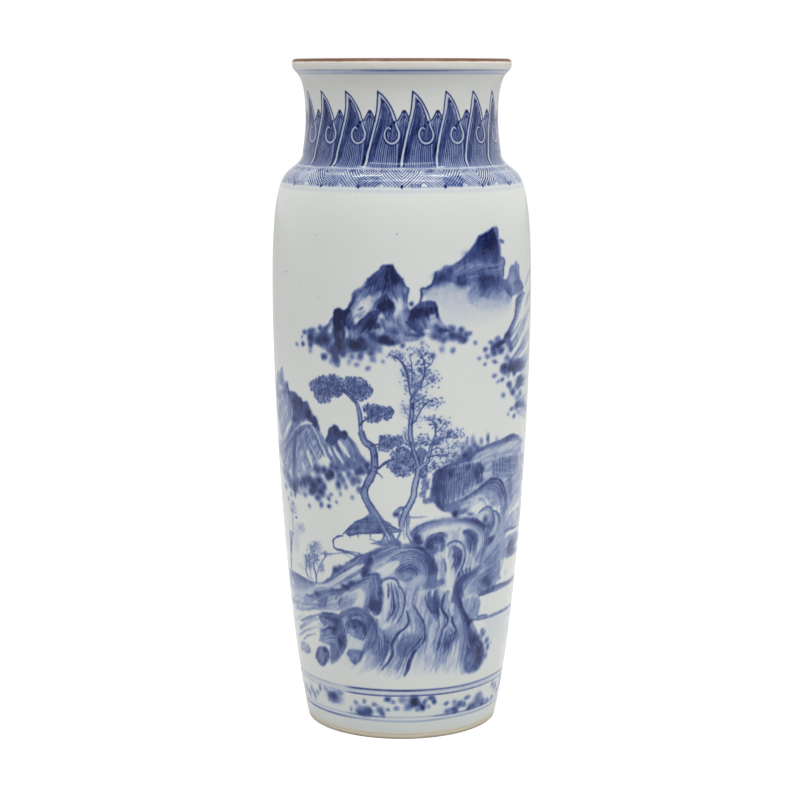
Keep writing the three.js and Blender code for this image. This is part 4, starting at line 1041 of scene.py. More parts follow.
# The curling rocks in the middle: crescents combed from a dark back to a white hollow.
def curledRocks():
    # ground under and between the curls
    wash([2, 146, 6, 151, 14, 154.6, 24, 155.6, 34, 154, 40, 158, 46, 157, 50, 153, 55, 150, 58, 140,
        59, 120, 56, 108, 50, 98, 40, 98, 30, 100, 24, 106, 14, 106, 4, 106, -4, 112, -12, 112, -16, 118,
        -14, 128, -6, 136, 4, 139], 0.3, 1.2, 0.5, 78, 89)
    wash([35, 128, 38, 132, 42, 131, 43.6, 124, 40, 120, 36.6, 123], 0.56, 1.4, 0.4, 78, 87)
    wash([-15, 133, -8, 138, -6, 142, -3, 139, 2, 139, 7, 141, 10, 138, 4, 134, -6, 132, -13, 128], 0.55,
        1.2, 0.4, 20, 86)
    wash([42, 128, 44, 140, 50, 152, 55, 152, 58, 148, 62, 139, 57, 132, 56, 118, 50, 112, 42, 114,
        40, 121], 0.38, 1.4, 0.4, 80, 90)
    wash([-14, 128, -4, 137, 6, 139, 12, 134, 16, 124, 14, 112, 4, 108, -2, 116, -12, 119], 0.3, 1.2, 0.2,
        20, 91)
    ribbons([
        # the great curl
        ([3.6, 145, 6, 149.2, 9, 151.6, 13, 153.2, 18, 154.2, 24, 154.4, 30, 154, 35, 152.4, 38.8, 150,
            42, 146.6, 44.2, 142, 45, 136, 44.4, 130, 42, 125],
            [8.6, 137, 9.4, 141.6, 12, 144.6, 16, 146.4, 20, 147.4, 24, 147.6, 28, 146.6, 31.4, 145,
                34.6, 142.4, 36.8, 139, 37.8, 135, 37.8, 131, 36.6, 127, 34, 124], (0.74, 0.62, 0.3, 0.1),
            (1.15, 1, 0.9, 0.85, 1.1, 1.25, 1.1, 0.9), 0.5, 0.15),
        # small curl over it
        ([37.6, 155.4, 40, 157.7, 43, 158.6, 46, 157, 48, 152.6, 48.4, 147, 47.4, 142.6, 44.6, 138.8],
            [38.6, 154.4, 40, 155.4, 42, 154.8, 43, 152, 43.4, 148.4, 43, 145.6, 42, 143, 41, 141],
            (0.8, 0.6, 0.4, 0.1), (0.7, 0.8, 1, 1.1), 0.45, 0.15),
        ([46.6, 155.4, 49.4, 153.4, 51.6, 150, 52.6, 146, 52, 141.6, 51, 139],
            [47.6, 153, 48.6, 150, 49, 147, 49, 144, 48.6, 141, 48, 139], (0.56, 0.2), (0.9, 1, 1), 0.4,
            0.2),
        ([41, 130, 43.4, 135.6, 46, 137.6, 49, 137.6, 50, 137.6],
            [41, 128.6, 43.6, 130.4, 46, 131.6, 48, 133.6, 50, 137], (0.66, 0.8, 0.7), (0.8, 1, 1), 0.25,
            0.1),
        # second curl, filled
        ([28.6, 144.2, 31, 145.6, 34, 145, 36.4, 142.4, 38, 138.4, 38, 134, 36.8, 130.6, 34.6, 127.6],
            [29.6, 142, 30.6, 140, 30.8, 137.4, 31.4, 134.6, 32, 132, 32.8, 130, 33, 128.6, 33, 127.4],
            (0.86, 0.74, 0.55), (0.95, 1, 1, 0.9), 0.5, 0.15),
        # fourth curl, left
        ([9.4, 134, 10.6, 140, 13.4, 143.8, 17.4, 145.4, 20.8, 144, 21.6, 140],
            [12, 129, 13.6, 130, 16, 130, 18.4, 129, 20, 128, 21, 129], (0.76, 0.82, 0.66, 0.5),
            (1.1, 1, 1, 0.9), 0.45, 0.2),
        ([14.6, 137, 16, 131, 17, 126, 18, 121], [21, 139, 20.4, 132, 20, 126, 19.4, 121],
            (0.4, 0.1, 0.35), (1, 0.7), 0.6, 0.4),
        # third curl with its dark back
        ([23.4, 135, 26, 135, 28.4, 132.6, 29.6, 128.6, 29.4, 123.6, 28, 118.6, 26, 114],
            [23.6, 134, 24.4, 131, 24.2, 128, 24.8, 124.6, 23.8, 121.6, 24, 118, 24.6, 113],
            (0.84, 0.78, 0.62), (0.8, 1, 1.05, 0.9, 0.7), 0.4, 0.3)], 820)
    lines([([21.6, 136, 23, 137.8, 25.4, 138.3, 27.8, 137.2, 30, 134, 31, 130, 31, 126, 30, 121,
        28.6, 117, 27, 113, 26, 108], 1.0, 0.88),
        ([37.6, 155.3, 40, 157.7, 43, 158.6, 46, 157], 0.9, 0.9),
        ([47, 155, 50, 153, 52, 149, 52.8, 145], 0.9, 0.8),
        ([22, 136, 22.8, 131, 22.2, 126, 23, 121], 0.7, 0.5)], 95)
    wash([11, 134, 12, 141, 16, 143.4, 20, 141, 20.6, 136, 19, 131.6, 15, 132], 0.6, 1.2, 0.45, 100, 101)
    dabs([(6.8, 141.6, 2.4, 3.4, 0.84), (8.2, 138.6, 1.8, 1.9, 0.8), (33, 137, 2.4, 5.0, 0.6),
        (42, 150, 2.2, 3.4, 0.66), (44, 145, 1.8, 3.4, 0.7)])
    wash([72, 188, 74, 170, 72, 152, 80, 144, 90, 146, 92, 186, 82, 192], 0.26, 2.2, 0.4, 12, 92)
    # the rounded mound, combed in rings about its foot
    ribbons([([-14, 129, -10, 132.6, -6, 135.4, -2, 137, 4, 138.2, 9, 137, 12.6, 133.6, 15.4, 128,
        16.6, 121, 16, 113.6],
        [-13, 122.6, -9, 125.4, -5, 128.4, -1, 129.6, 3, 129.4, 6, 127.6, 8.6, 124.6, 10, 121,
            10.4, 117.6, 9.6, 114], (0.66, 0.74, 0.5, 0.3), (0.9, 0.9, 0.9, 1, 1.15, 1.3, 1.2), 0.55,
        0.15),
        ([-5, 118, -3.6, 121.4, -1, 123.6, 3, 124.6, 6.4, 123.4, 8.6, 120.4, 9, 116.4],
            [-1.6, 115.6, -0.6, 117.6, 1, 118.6, 3, 118.8, 4.6, 118, 5.4, 116.4, 5, 114.6],
            (0.5, 0.7, 0.62), (0.6, 0.9, 1, 1, 0.8), 0.55, 0.2)], 840)
    wash([-3, 118, -1, 120, 3, 120.4, 5, 118, 4.4, 113, 0, 112.6, -2.4, 115], 0.55, 1.0, 0.3, 30, 97)
    wash([9.6, 133, 12, 136, 14, 133, 15.8, 127, 17.4, 120, 16.6, 113, 20, 113.6, 21, 109.6, 17, 107,
        12, 106.4, 9.4, 109, 11.6, 113, 12, 120, 11, 127], 0.68, 1.1, 0.35, 84, 94)
    for k in range(7):
        s = 1 - 0.115 * k
        arc = [-8, 121, -6, 127, -1, 131.6, 4.6, 133, 10, 130, 13, 124, 13.6, 117]
        stroke(shrunk(arc, 3.6, 117, s), 0.7, 0.86, 0.25, 0.6, 0.5, 0.4, 400 + k)
    stroke([21.6, 133, 21, 128, 21.8, 120, 22.6, 112, 22, 105], 2.8, 0.05, 0.25, 0.4, 0.5, 0.8, 5,
        "light")
    stroke([25, 120, 24.6, 112, 23.6, 106], 1.8, 0.08, 0.25, 0.4, 0.5, 0.8, 8, "light")
    stroke([29.6, 148, 27.8, 143, 27.6, 139.6], 1.8, 0.12, 0.3, 0.5, 0.5, 0.8, 6, "light")
    stroke([13, 145, 19, 147.2, 26, 146.6], 2.8, 0.06, 0.3, 0.5, 0.5, 0.8, 7, "light")
    wash([-13, 119.6, -9, 123, -5, 126.6, -1.6, 127.6, -0.8, 124.6, -2.6, 121, -5, 118, -10, 117], 0.06,
        1.2, 0.2, 30, 130, "light")
    wash([17.6, 126, 20.4, 124, 21.6, 118, 20.6, 112, 18, 113, 18, 120], 0.45, 1.2, 0.4, 84, 98)
    lines([([19.8, 127, 20.8, 122, 21, 117.6], 0.9, 0.8), ([18.4, 130, 19, 124, 18.6, 118], 0.6, 0.5)],
        99)
    # slabs and the bank at the right
    wash([54, 119, 56, 128, 58, 134, 66, 134, 76, 134, 80, 122, 70, 118], 0.46, 1.6, 0.35, 20, 93)
    wash([56, 137, 58, 146, 62, 149, 70, 151, 80, 149, 86, 144, 80, 139, 68, 137], 0.42, 1.2, 0.3, 10, 95)
    wash([60, 119, 61, 127, 66, 131, 74, 132, 84, 130, 86, 122, 76, 118], 0.6, 1.2, 0.3, 10, 96)
    wash([62, 120, 62, 128, 66, 130.6, 70, 128, 70, 119.6], 0.78, 1.0, 0.3, 80, 97)
    lines([([57, 150, 60, 155, 68, 157.4, 78, 157], 1.2, 0.3),
        ([57, 137.6, 62, 138.4, 70, 137, 78, 137], 1.4, 0.7),
        ([61, 118.4, 72, 118.6, 84, 118.4], 1.6, 0.62), ([58, 131, 66, 132, 76, 132], 1.2, 0.45)], 130)
    ribbons([([42, 121, 46, 126, 50, 130, 54, 133], [50, 110, 53, 114, 56, 118, 58, 124],
        (0.62, 0.5, 0.4), (1,), 0.45, 0.2),
        ([24.6, 96, 25, 103, 26.4, 109.6, 29, 114.6, 33, 116.4, 37, 118.6, 41, 122.4],
            [30.4, 93, 31, 99, 32.4, 104.6, 35.4, 108.6, 39, 111, 43, 113, 47, 116], (0.7, 0.7, 0.5),
            (1.15, 1.1, 1, 0.8, 0.66), 0.5, 0.2),
        ([33, 105.6, 38, 110.6, 44, 114, 50, 116, 54, 116],
            [34, 98.6, 39, 98.4, 44, 97.6, 49, 98.4, 53, 101], (0.66, 0.66, 0.46), (0.5, 0.9, 1, 0.9),
            0.5, 0.2)], 850)
    wash([49, 118, 54, 119, 56.4, 112, 55, 105, 50, 101, 46, 104, 47, 112], 0.5, 1.2, 0.3, 60, 99)
    dabs([(44, 108, 3.0, 3.6, 0.72), (47, 104, 2.2, 3.0, 0.7), (29, 104, 1.9, 4.4, 0.76),
        (28, 114.6, 0.8, 1.9, 0.8), (30, 116, 0.8, 1.9, 0.75), (32, 117, 0.8, 1.9, 0.75),
        (34, 117.6, 0.8, 1.7, 0.7), (56, 106, 1.6, 2.2, 0.4), (62, 108, 2.0, 1.7, 0.2)])
    lines([([41, 98, 46, 99, 52, 99.4, 58, 99.6, 66, 99.4, 76, 100, 86, 99.4], 3.6, 0.78),
        ([48, 101, 56, 101.4, 64, 101], 1.2, 0.86),
        ([36, 81.4, 42, 81.4, 50, 80.8, 58, 81, 68, 80.8, 78, 80.6], 2.4, 0.7),
        ([40, 83.4, 48, 82.6], 1.0, 0.8)], 140, 0.3)
    wash([31, 95, 35, 98.6, 40, 98, 42.6, 92, 41.6, 85, 38, 82, 34, 84, 32.4, 90], 0.44, 1.2, 0.35, 80,
        88)
    wash([45, 80, 60, 80.6, 78, 80, 78, 60, 62, 50, 52, 52, 50, 66], 0.12, 2.5, 0.4, 0, 89, fade=(84, 46))


# The rocks in front: tall tongues of combed strokes with dark wet edges.
def frontRocks():
    # ground that the tongues stand on, running out in hairs below
    wash([-17, 116, -10, 114, 0, 109, 10, 108, 20, 106, 26, 104, 33, 100, 37, 90, 39, 80, 42, 72, 48, 62,
        49, 50, 45, 43, 30, 44, 20, 46, 10, 43, 0, 42, -8, 46, -14, 50, -18, 60, -14, 74, -11, 88,
        -9, 100], 0.44, 1.4, 0.55, 82, 109, fade=(66, 44))
    flow([-15, 66, -19, 56, -24, 47], [5, 62, 2, 52, -2, 42], 20, 0.8, 0.42, 0.4, 107, 0.4, 0.1)
    flow([13, 62, 12, 54, 10, 47], [46, 56, 46, 50, 44, 43], 20, 0.8, 0.4, 0.4, 108, 0.4, 0.1)

    ribbons([
        # the stream from the mound down between the tongues
        ([10.6, 113, 8, 108.6, 6.6, 104, 6, 99, 6.6, 94, 8.4, 90, 10.4, 85, 11.4, 79, 11.6, 73, 10.2, 69,
            7.6, 65, 5.4, 61, 4.2, 57, 3.2, 52, 1, 47, -1.6, 42.6],
            [5.6, 108, 3.6, 104, 3, 99, 3.6, 94.6, 4.6, 90, 4.8, 85, 4.6, 80, 3.4, 76, 0.6, 73, -2, 70.6,
                -3.6, 67, -4.2, 62, -6, 57.6, -8, 53, -7.6, 48, -5.6, 43.6], (0.84, 0.66, 0.5, 0.42),
            (0.8, 0.8, 0.85, 0.9, 1, 1.05, 1, 0.9, 0.6), 0.65, 0.3),
        # left of the first dark line
        ([1.6, 90, 2.2, 86, 1, 82, -2, 78.6, -5, 75, -6.4, 70, -6.4, 65, -7.6, 60, -10, 55, -13, 49],
            [-4, 90, -4.6, 86, -6, 82, -8.6, 79.6, -11, 76.6, -12.6, 71, -12.6, 66, -13.4, 61, -15, 56,
                -17, 51], (0.7, 0.66, 0.6), (0.6, 0.6, 0.8, 1.1, 1.1, 0.9, 0.6), 0.65, 0.35)], 860)
    wash([-11.6, 88, -8, 92, -5, 88, -5, 82, -9, 79, -11.6, 82], 0.1, 1.4, 0.3, 80, 110, "light")
    wash([-0.6, 79, 1.6, 83, 4, 82, 4.6, 77, 3.6, 73, 0.6, 72.6, -1.6, 75], 0.12, 1.2, 0.4, 85, 111,
        "light")
    wash([0, 74, 4, 76, 8, 75.6, 9.6, 70, 7, 64, 3, 60, -1, 59, -3, 64, -2, 70], 0.58, 1.4, 0.45, 80, 112)
    flow([0.4, 80, -0.6, 75, -2, 70], [5, 80, 5.6, 74, 5, 68], 7, 0.6, 0.72, 0.3, 113, 0.3, 0.1)
    flow([-9.6, 79, -8.4, 72, -9, 64, -12, 56], [-5, 76, -6, 68, -8, 60, -11, 52], 8, 0.8, 0.86, 0.3, 114,
        0.3, 0.2)
    # first tongue
    arch = [-9.9, 110.4, -9.2, 112.6, -7.4, 114.2, -5, 114.8, -2.8, 114, -1.6, 111.6, -1, 109, 0.2, 107,
        1, 104, 1.4, 100, 1.1, 96, 0.7, 93, 0, 90, -1, 87, -2.4, 84]
    wash(arch + [-7, 84, -9, 92, -8.6, 102], 0.12, 0.9, 0.2, 85, 115, "over")
    ribbons([([-1.6, 110, 0, 105, 0.6, 99, 0, 93, -1.6, 87, -3.6, 82],
        [-7.4, 110, -7.2, 104, -7, 97, -7.4, 91, -8.6, 86, -10, 83], (0.4, 0.62, 0.66, 0.4),
        (0.75, 1, 1, 0.8, 0.5), 0.75, 0.3)], 870)
    lines([([-6.4, 111, -6.2, 106, -6.6, 101], 0.9, 0.9),
        ([-5, 111.4, -4.6, 105, -3.8, 99, -3.6, 95, -5, 90, -7, 85], 0.8, 0.9),
        ([-3.4, 111, -2.6, 105, -1.6, 99, -1.6, 94, -3, 89, -5, 84], 0.7, 0.82),
        ([-2.2, 98, -3.6, 92, -5.6, 87], 0.6, 0.85), (arch, 1.15, 0.9)], 120)
    # second strip of dark hairs, and its tail
    ribbons([([18.8, 108, 18.6, 101, 19.4, 95, 21, 89, 22, 83, 21.4, 78, 19, 73, 16, 68, 14, 63, 12, 57],
        [9.6, 105, 9.8, 98.6, 11.4, 94.6, 14.6, 90.6, 16.6, 86, 17.6, 81.6, 17, 77, 15.6, 72, 14.4, 67,
            13, 61], (0.7, 0.62, 0.56, 0.46), (0.5, 0.75, 0.9, 1, 1.15, 1.05, 0.7, 0.5), 0.85, 0.3)], 875)
    flow([10.4, 106, 11, 98, 14, 91, 16.4, 83], [18.4, 108, 18, 100, 18.6, 92, 19, 82], 9, 0.9, 0.95, 0.2,
        121, 0.3, 0.1)
    # fourth tongue
    ribbons([([26, 79, 29, 77, 29.4, 73, 28, 69, 26.6, 65, 25.4, 60, 23.8, 54, 21.6, 48.6],
        [21.4, 80, 19.4, 76.6, 17.4, 72, 16.4, 67, 16.6, 61, 17, 55, 17, 50, 17.4, 46],
        (0.62, 0.7, 0.64, 0.46), (0.9, 1.05, 1, 0.8, 0.4), 0.7, 0.35)], 880)
    flow([20.6, 79, 18.6, 71, 18, 62], [27.6, 77, 26, 68, 23.4, 60], 7, 0.8, 0.95, 0.2, 122, 0.3, 0.1)
    # the last tongue and its dark back
    ribbons([([25.6, 103, 29.6, 98, 31.6, 92, 33, 87, 35.6, 81, 37.4, 76, 39.4, 71.6, 42.4, 68,
        45.6, 63.6, 48, 58, 48.6, 52, 47, 46],
        [24.6, 101, 26, 95, 28, 90, 30, 85, 31.4, 80, 32, 74, 32, 68, 31, 61, 30, 55, 29.4, 50, 29.6, 46,
            30, 43], (0.84, 0.74, 0.6, 0.5), (0.95, 1.05, 1.05, 1.05, 1.05, 0.9, 0.85, 0.7), 0.34, 0.3)],
        885)
    wash([32, 74, 34, 62, 33, 50, 38, 43, 46, 44, 49.6, 52, 48, 62, 44, 69, 38, 77], 0.6, 2.4, 0.2, 66,
        107)
    wash([33, 56, 36, 60, 40, 58, 46, 54, 47.6, 47, 45, 43, 38, 42.6, 33, 44], 0.76, 1.4, 0.35, 70, 106,
        fade=(70, 30))
    dabs([(40, 66.4, 3.0, 3.6, 0.84), (44, 58, 3.2, 4.4, 0.86), (44.6, 52, 3.2, 4.6, 0.84),
        (43, 47, 2.8, 2.8, 0.75), (37, 60, 1.9, 3.6, 0.76), (46, 70, 2.6, 3.4, 0.55),
        (49.6, 64, 2.2, 3.0, 0.6), (51, 58.6, 1.9, 3.2, 0.58), (50, 52.6, 2.0, 3.0, 0.55),
        (45, 72.6, 1.4, 1.6, 0.5), (53.6, 61.4, 1.0, 1.4, 0.3), (36, 80, 1.4, 2.6, 0.9),
        (34, 84, 1.4, 2.6, 0.9)])
    # dark wet lines
    lines([([2.4, 92, 3.1, 88, 3.4, 85, 2.2, 81.4, 0, 78.6, -2, 76.2, -4, 72, -4.9, 68, -4.7, 64, -5, 61,
        -7, 56, -10.4, 50.6], 1.5, 0.98),
        ([6.4, 95, 8.2, 90, 10.4, 85, 11.6, 79, 11.7, 73, 10.6, 69], 1.1, 0.88),
        ([7.4, 64.6, 5.4, 60.6, 4.2, 56, 3.2, 51, 1.2, 46], 1.9, 0.9),
        ([21, 103, 20.3, 98.6, 19.8, 94, 20.4, 90.6, 22, 87.6, 23.2, 84.4, 22.8, 81.4, 21.6, 79], 1.7,
            0.98), ([23, 92, 23.8, 88, 23.4, 84], 0.7, 0.8),
        ([25.4, 86.4, 25.7, 82.6, 27, 79.6, 28.2, 77, 27.8, 73.4, 26.8, 70], 1.5, 0.97),
        ([29, 97, 30.4, 92, 32, 88, 34, 84, 36, 80.6], 2.4, 0.95)], 125, 0.08)
    wash([22, 100, 24, 103, 25, 96, 26, 90, 24.6, 86, 23.4, 92], 0.12, 0.9, 0.3, 80, 117)


# The shore at the left and the rocks below it.
def leftShore():
    wash([-6, 134, -18, 130, -26, 122, -36, 112, -46, 106, -60, 106, -80, 107, -80, 84, -60, 82, -46, 86,
        -34, 88, -20, 92, -12, 88, -9, 100, -10, 112, -10, 122], 0.36, 1.4, 0.5, 28, 128)
    wash([-34, 86, -26, 91, -16, 90, -12.6, 82, -13, 72, -18, 60, -26, 48, -34, 52, -41, 48, -46, 62,
        -47, 78], 0.34, 1.2, 0.5, 62, 129, fade=(84, 44))

    ribbons([([-4, 138, -10, 135.4, -14, 132.8, -18, 131, -21, 130, -24.4, 125.6, -27, 123.2, -30, 120.6,
        -33, 118, -35, 115.6, -36.6, 112, -39.6, 109, -43.6, 106.6, -48, 105.6],
        [-7, 131, -12, 128, -15.6, 123.6, -18, 119, -21, 115.6, -25, 112, -28.6, 109, -32, 107,
            -35, 105.6, -38, 104.2, -41, 103, -44, 102.6, -47, 102.6, -50, 102.6],
        (0.72, 0.7, 0.64, 0.46), (1, 1, 0.95, 0.95, 1, 1.1, 1, 0.9), 0.45, 0.15),
        ([-44, 106.4, -50, 105.4, -56, 106.6, -62, 107.6, -70, 107, -80, 107],
            [-46, 103, -50, 99, -56, 95, -62, 92, -70, 90, -80, 90], (0.66, 0.5, 0.36, 0.16),
            (0.9, 1, 1, 0.8), 0.3, 0.1)], 900)
    # the dark fall under the mound
    ribbons([([-11, 130, -13.4, 126, -15, 122, -15.6, 118, -13, 116, -10.6, 117],
        [-18, 128, -19, 122, -20, 117, -19, 113, -15, 111, -10, 110], (0.66, 0.84, 0.58),
        (1, 1.05, 1, 0.85), 0.4, 0.1),
        ([-11, 119, -15, 117.6, -18, 115, -22, 112, -25, 111, -28, 107.4, -31, 105, -35, 104, -38, 102.8,
            -41, 101.6, -45, 99.6, -49, 96.8, -55.4, 95],
            [-8.6, 111, -13, 108.6, -17, 107, -21, 106, -24, 104, -27, 101.6, -31, 99, -35, 97.6, -39, 95,
                -43, 92.4, -47, 92, -51, 92.6, -56, 92.6], (0.8, 0.72, 0.56, 0.34),
            (0.9, 0.95, 1.05, 1.05, 1, 0.95, 0.85), 0.5, 0.15),
        # the broad dark rock face
        ([-11, 118.6, -9.8, 114, -8.7, 108, -8.5, 102, -8.9, 96, -10, 91, -12.4, 87],
            [-17, 112, -18, 106, -18.6, 101, -19.4, 96, -19.6, 92.6, -18, 90, -15.4, 88],
            (0.78, 0.76, 0.66, 0.36), (0.9, 0.95, 1, 1.1, 1.05), 0.45, 0.08)], 905)
    wash([-13.4, 88, -10.6, 85, -9.8, 76, -10.6, 68, -14, 60, -15.6, 66, -13.6, 76], 0.6, 1.0, 0.3, 80,
        132)
    wash([-17, 65, -13, 61, -17, 52, -21, 45, -25, 46, -20, 56], 0.5, 1.2, 0.4, 62, 133, fade=(70, 44))
    dabs([(-33, 117.4, 2.2, 2.8, 0.8), (-30.4, 119.8, 1.6, 2.0, 0.66), (-28, 106.6, 2.6, 1.8, 0.85),
        (-24.6, 109.4, 2.2, 2.0, 0.78), (-15.6, 125, 2.4, 3.6, 0.72), (-17, 119, 2.6, 4.0, 0.72),
        (-13, 96, 2.6, 4.4, 0.76), (-46, 97.6, 2.6, 1.8, 0.8)])
    stroke([-18.4, 123, -23, 119, -28, 114.4, -33, 109.6, -38, 106, -46, 103.4], 2.8, 0.08, 0.3, 0.3, 0.3,
        0.9, 0, "light")
    wash([-12.6, 120.4, -9, 123.4, -5, 126.6, -1.6, 127.6, -0.6, 124.6, -3, 121, -6, 118.4, -10, 117.8],
        0.05, 1.0, 0.15, 30, 130, "light")
    wash([-20, 107, -17.6, 103, -17.8, 98, -19.6, 93.6, -24, 93.6, -27, 97, -25, 103], 0.08, 1.6, 0.2, 40,
        131, "light")
    ribbons([([-20, 106, -26, 103.4, -32, 101.4], [-23, 96, -28, 92, -33, 90.6], (0.3, 0.55, 0.66),
        (0.6, 1), 0.7, 0.3),
        ([-38, 100, -42, 97.6, -46, 95], [-40, 90, -44, 88, -47, 88], (0.5, 0.66, 0.55), (1,), 0.4, 0.2)],
        910)
    lines([([-30.4, 98, -32, 95, -31.6, 92], 0.9, 0.8), ([-33, 99, -34.4, 96], 0.9, 0.7)], 132)
    # rounded rock
    outer = [-33, 86, -30.6, 88.6, -28, 90.8, -25, 92.4, -21, 92.9, -17.8, 91.8, -15.4, 89, -13.6, 86,
        -12.4, 82, -12, 77.6, -12.5, 73, -13.8, 69, -15.8, 65, -18, 61, -20, 57, -22.4, 52.6, -25, 48]
    inner = [-32, 82, -29.6, 83.6, -27, 85, -24.6, 86, -21.6, 86.6, -19.4, 85.6, -18, 83, -17.4, 80,
        -17, 77, -17.4, 74, -18.6, 71, -19.6, 68, -20.6, 65, -22, 61, -23.6, 57, -26, 52.6, -29, 48.6]
    ribbons([
        (outer, inner, (0.8, 0.68, 0.58, 0.46), (0.95, 0.95, 0.9, 0.9, 1, 1.05, 1.05, 1, 0.7), 0.55, 0.3),
        ([-30, 74, -29, 80, -26.4, 84, -22, 85.4, -18.6, 82.6, -17.4, 77.6, -18.4, 72],
            [-24.6, 73, -24, 77, -22.6, 79, -21.4, 79.4, -20.4, 78, -20.2, 75.6, -21, 72],
            (0.66, 0.84, 0.8), (0.8, 1, 1.05, 1.05, 1), 0.5, 0.15),
        ([-19.6, 70, -18, 74, -18, 78], [-27, 72, -27, 76, -26, 80], (0.7, 0.6, 0.4), (1,), 0.5, 0.2)],
        915)
    for k in range(6):
        s = 1 - 0.14 * k
        arc = [-29, 79, -27, 86, -21.6, 89.4, -16.4, 86.6, -14.4, 79, -15.6, 71]
        stroke(shrunk(arc, -21.6, 77, s), 0.7, 0.9, 0.3, 0.5, 0.4, 0.45, 420 + k)
    wash([-28.6, 69, -25, 71, -21.4, 69, -21.6, 65, -24, 64, -28, 66], 0.12, 1.2, 0.2, 60, 133, "light")
    wash([-29.6, 59.6, -28.4, 62.6, -25, 63.8, -21.6, 63.4, -20, 62, -20.4, 58, -22.6, 54, -25.6, 52,
        -28, 55], 0.64, 1.2, 0.25, 75, 134)
    # the dark rock left of it
    body = [-47, 83, -44, 85.8, -40, 86.2, -36, 87.2, -33, 86.4, -30.6, 83.4, -30.2, 79, -29.2, 75,
        -28.6, 70, -29.2, 65, -30.8, 61, -33, 57, -36, 52.6, -39.6, 49, -41, 51, -40.4, 57, -40, 62.6,
        -44, 63.4, -48, 64, -46.4, 68, -43.4, 71, -46.6, 73.4, -43, 76.4, -46, 79]
    wash(body, 0.62, 1.0, 0.3, 40, 135)
    ribbons([([-44, 85.6, -38, 86.6, -32.4, 85.6, -30.2, 79, -28.8, 72, -29.2, 65, -32, 58.6, -36, 52.4,
        -40, 48.4],
        [-46, 80, -41, 80, -37, 78, -35.6, 73, -35.6, 68, -36.6, 62.6, -38.4, 57.6, -40.4, 53, -42, 50],
        (0.74, 0.72, 0.6), (0.9, 0.95, 1, 1, 0.95, 0.9, 0.7), 0.5, 0.25),
        ([-36, 77, -40, 76.6, -44, 74, -46.6, 72], [-36, 66, -40, 64.6, -44, 63.6, -48, 63],
            (0.84, 0.62, 0.56, 0.62), (1.05, 0.9, 0.8), 0.65, 0.25)], 920)
    dab(-22.4, 77.6, 2.4, 3.4, 0.62)
    stroke([-40, 76.8, -43.6, 74.6, -46.6, 73], 1.3, 0.3, 0.2, 0.4, 0.4, 0.5, 0, "light")
    dabs([(-36, 75, 2.6, 3.6, 0.84), (-33, 67, 2.2, 5.4, 0.8), (-35, 82, 2.6, 2.2, 0.78)])
    wash([-53.4, 50.6, -52, 55.4, -50, 58.8, -47, 60.8, -43, 61.4, -40.8, 59.6, -40.6, 55, -42, 51,
        -45, 47.4, -48.4, 45.6, -51, 47.6], 0.74, 1.0, 0.25, 60, 136)
    dab(-44, 58.6, 2.4, 2.2, 0.86)
    lines([([-56, 94, -52, 94.6, -48, 96], 2.2, 0.7),
        ([-76, 84.6, -62, 86.4, -52, 88.6, -44, 91.6], 1.8, 0.55),
        ([-74, 79.6, -62, 82, -52, 85.4, -44, 87.4], 1.5, 0.52),
        ([-64, 73.4, -56, 77.6, -47, 82.6], 2.2, 0.7), ([-60, 76, -52, 80, -46, 83.4], 1.0, 0.6),
        ([-68, 66.4, -60, 72, -52, 77.4, -47, 80], 3.0, 0.5),
        ([-70, 60.6, -62, 66, -54, 71, -48, 74], 2.0, 0.44), ([-64, 60, -57, 65, -50, 68.4], 1.5, 0.46),
        ([-74, 70, -68, 74, -60, 79], 2.4, 0.34), ([-80, 76, -70, 80, -60, 84], 2.0, 0.34)], 150, 0.45)
    wash([-70, 50, -70, 56, -64, 59, -58, 58, -56, 54, -60, 50.6], 0.5, 1.2, 0.4, 30, 137)
    # trees on the shore and in the haze
    lines([([-52.6, 122.6, -53, 116, -53.4, 111, -51, 106.4], 1.5, 0.76),
        ([-44, 134, -47.6, 128, -50.6, 121.6], 1.1, 0.66),
        ([-46.4, 105, -45.6, 110, -47, 116, -46, 121.6], 1.4, 0.8),
        ([-38, 126.6, -41, 121, -43.6, 116, -46, 108], 0.9, 0.62),
        ([-63, 152, -63.4, 144, -64, 136], 1.2, 0.5), ([-49, 105.6, -50, 112, -48, 118], 0.9, 0.5)], 160)
    ribbons([([-62.6, 136, -65, 130, -67, 122, -68.6, 114, -70, 107],
        [-70, 136, -70, 130, -70.6, 122, -71.6, 114, -72, 107], (0.66, 0.6, 0.4), (0.6, 1, 1, 0.9), 0.4,
        0.1)], 925)
    for k, (t, z, a, b, tone, count) in enumerate([(-52, 120, 3.0, 4.0, 0.52, 20),
            (-43.6, 130.4, 3.4, 4.0, 0.42, 22), (-46, 123, 3.4, 3.0, 0.62, 22),
            (-38, 127.4, 2.6, 2.0, 0.55, 10), (-50, 117, 3.6, 4.4, 0.55, 20),
            (-62, 153, 4.0, 4.0, 0.4, 14), (-55, 141, 3.0, 3.0, 0.4, 14), (-76, 128, 3.6, 3.2, 0.4, 14),
            (-42, 117, 2.0, 4.4, 0.5, 14), (-47.6, 129, 2.4, 3.4, 0.55, 14)]):
        leaves(t, z, a, b, tone, count, 220 + k, 0.22)
    wash([-64, 122, -64, 136, -60, 143, -54, 144, -53, 138, -57, 134, -59, 124], 0.16, 1.8, 0.3, 90, 138)
    wash([-64, 114, -57, 116, -52, 113, -56, 111], 0.18, 1.4, 0.2, 0, 139)


# Specks of iron in the glaze.
def specks():
    dabs([(-21, 362, 0.4, 0.4, 0.5), (-2, 340, 0.4, 0.5, 0.5), (-39.5, 338, 0.4, 0.4, 0.45),
        (-60, 312, 0.5, 0.5, 0.5), (-33, 322, 0.4, 0.4, 0.5), (-49.6, 305, 0.4, 0.4, 0.45),
        (-38, 298, 0.4, 0.4, 0.5), (-59, 147, 1.1, 0.9, 0.9)])


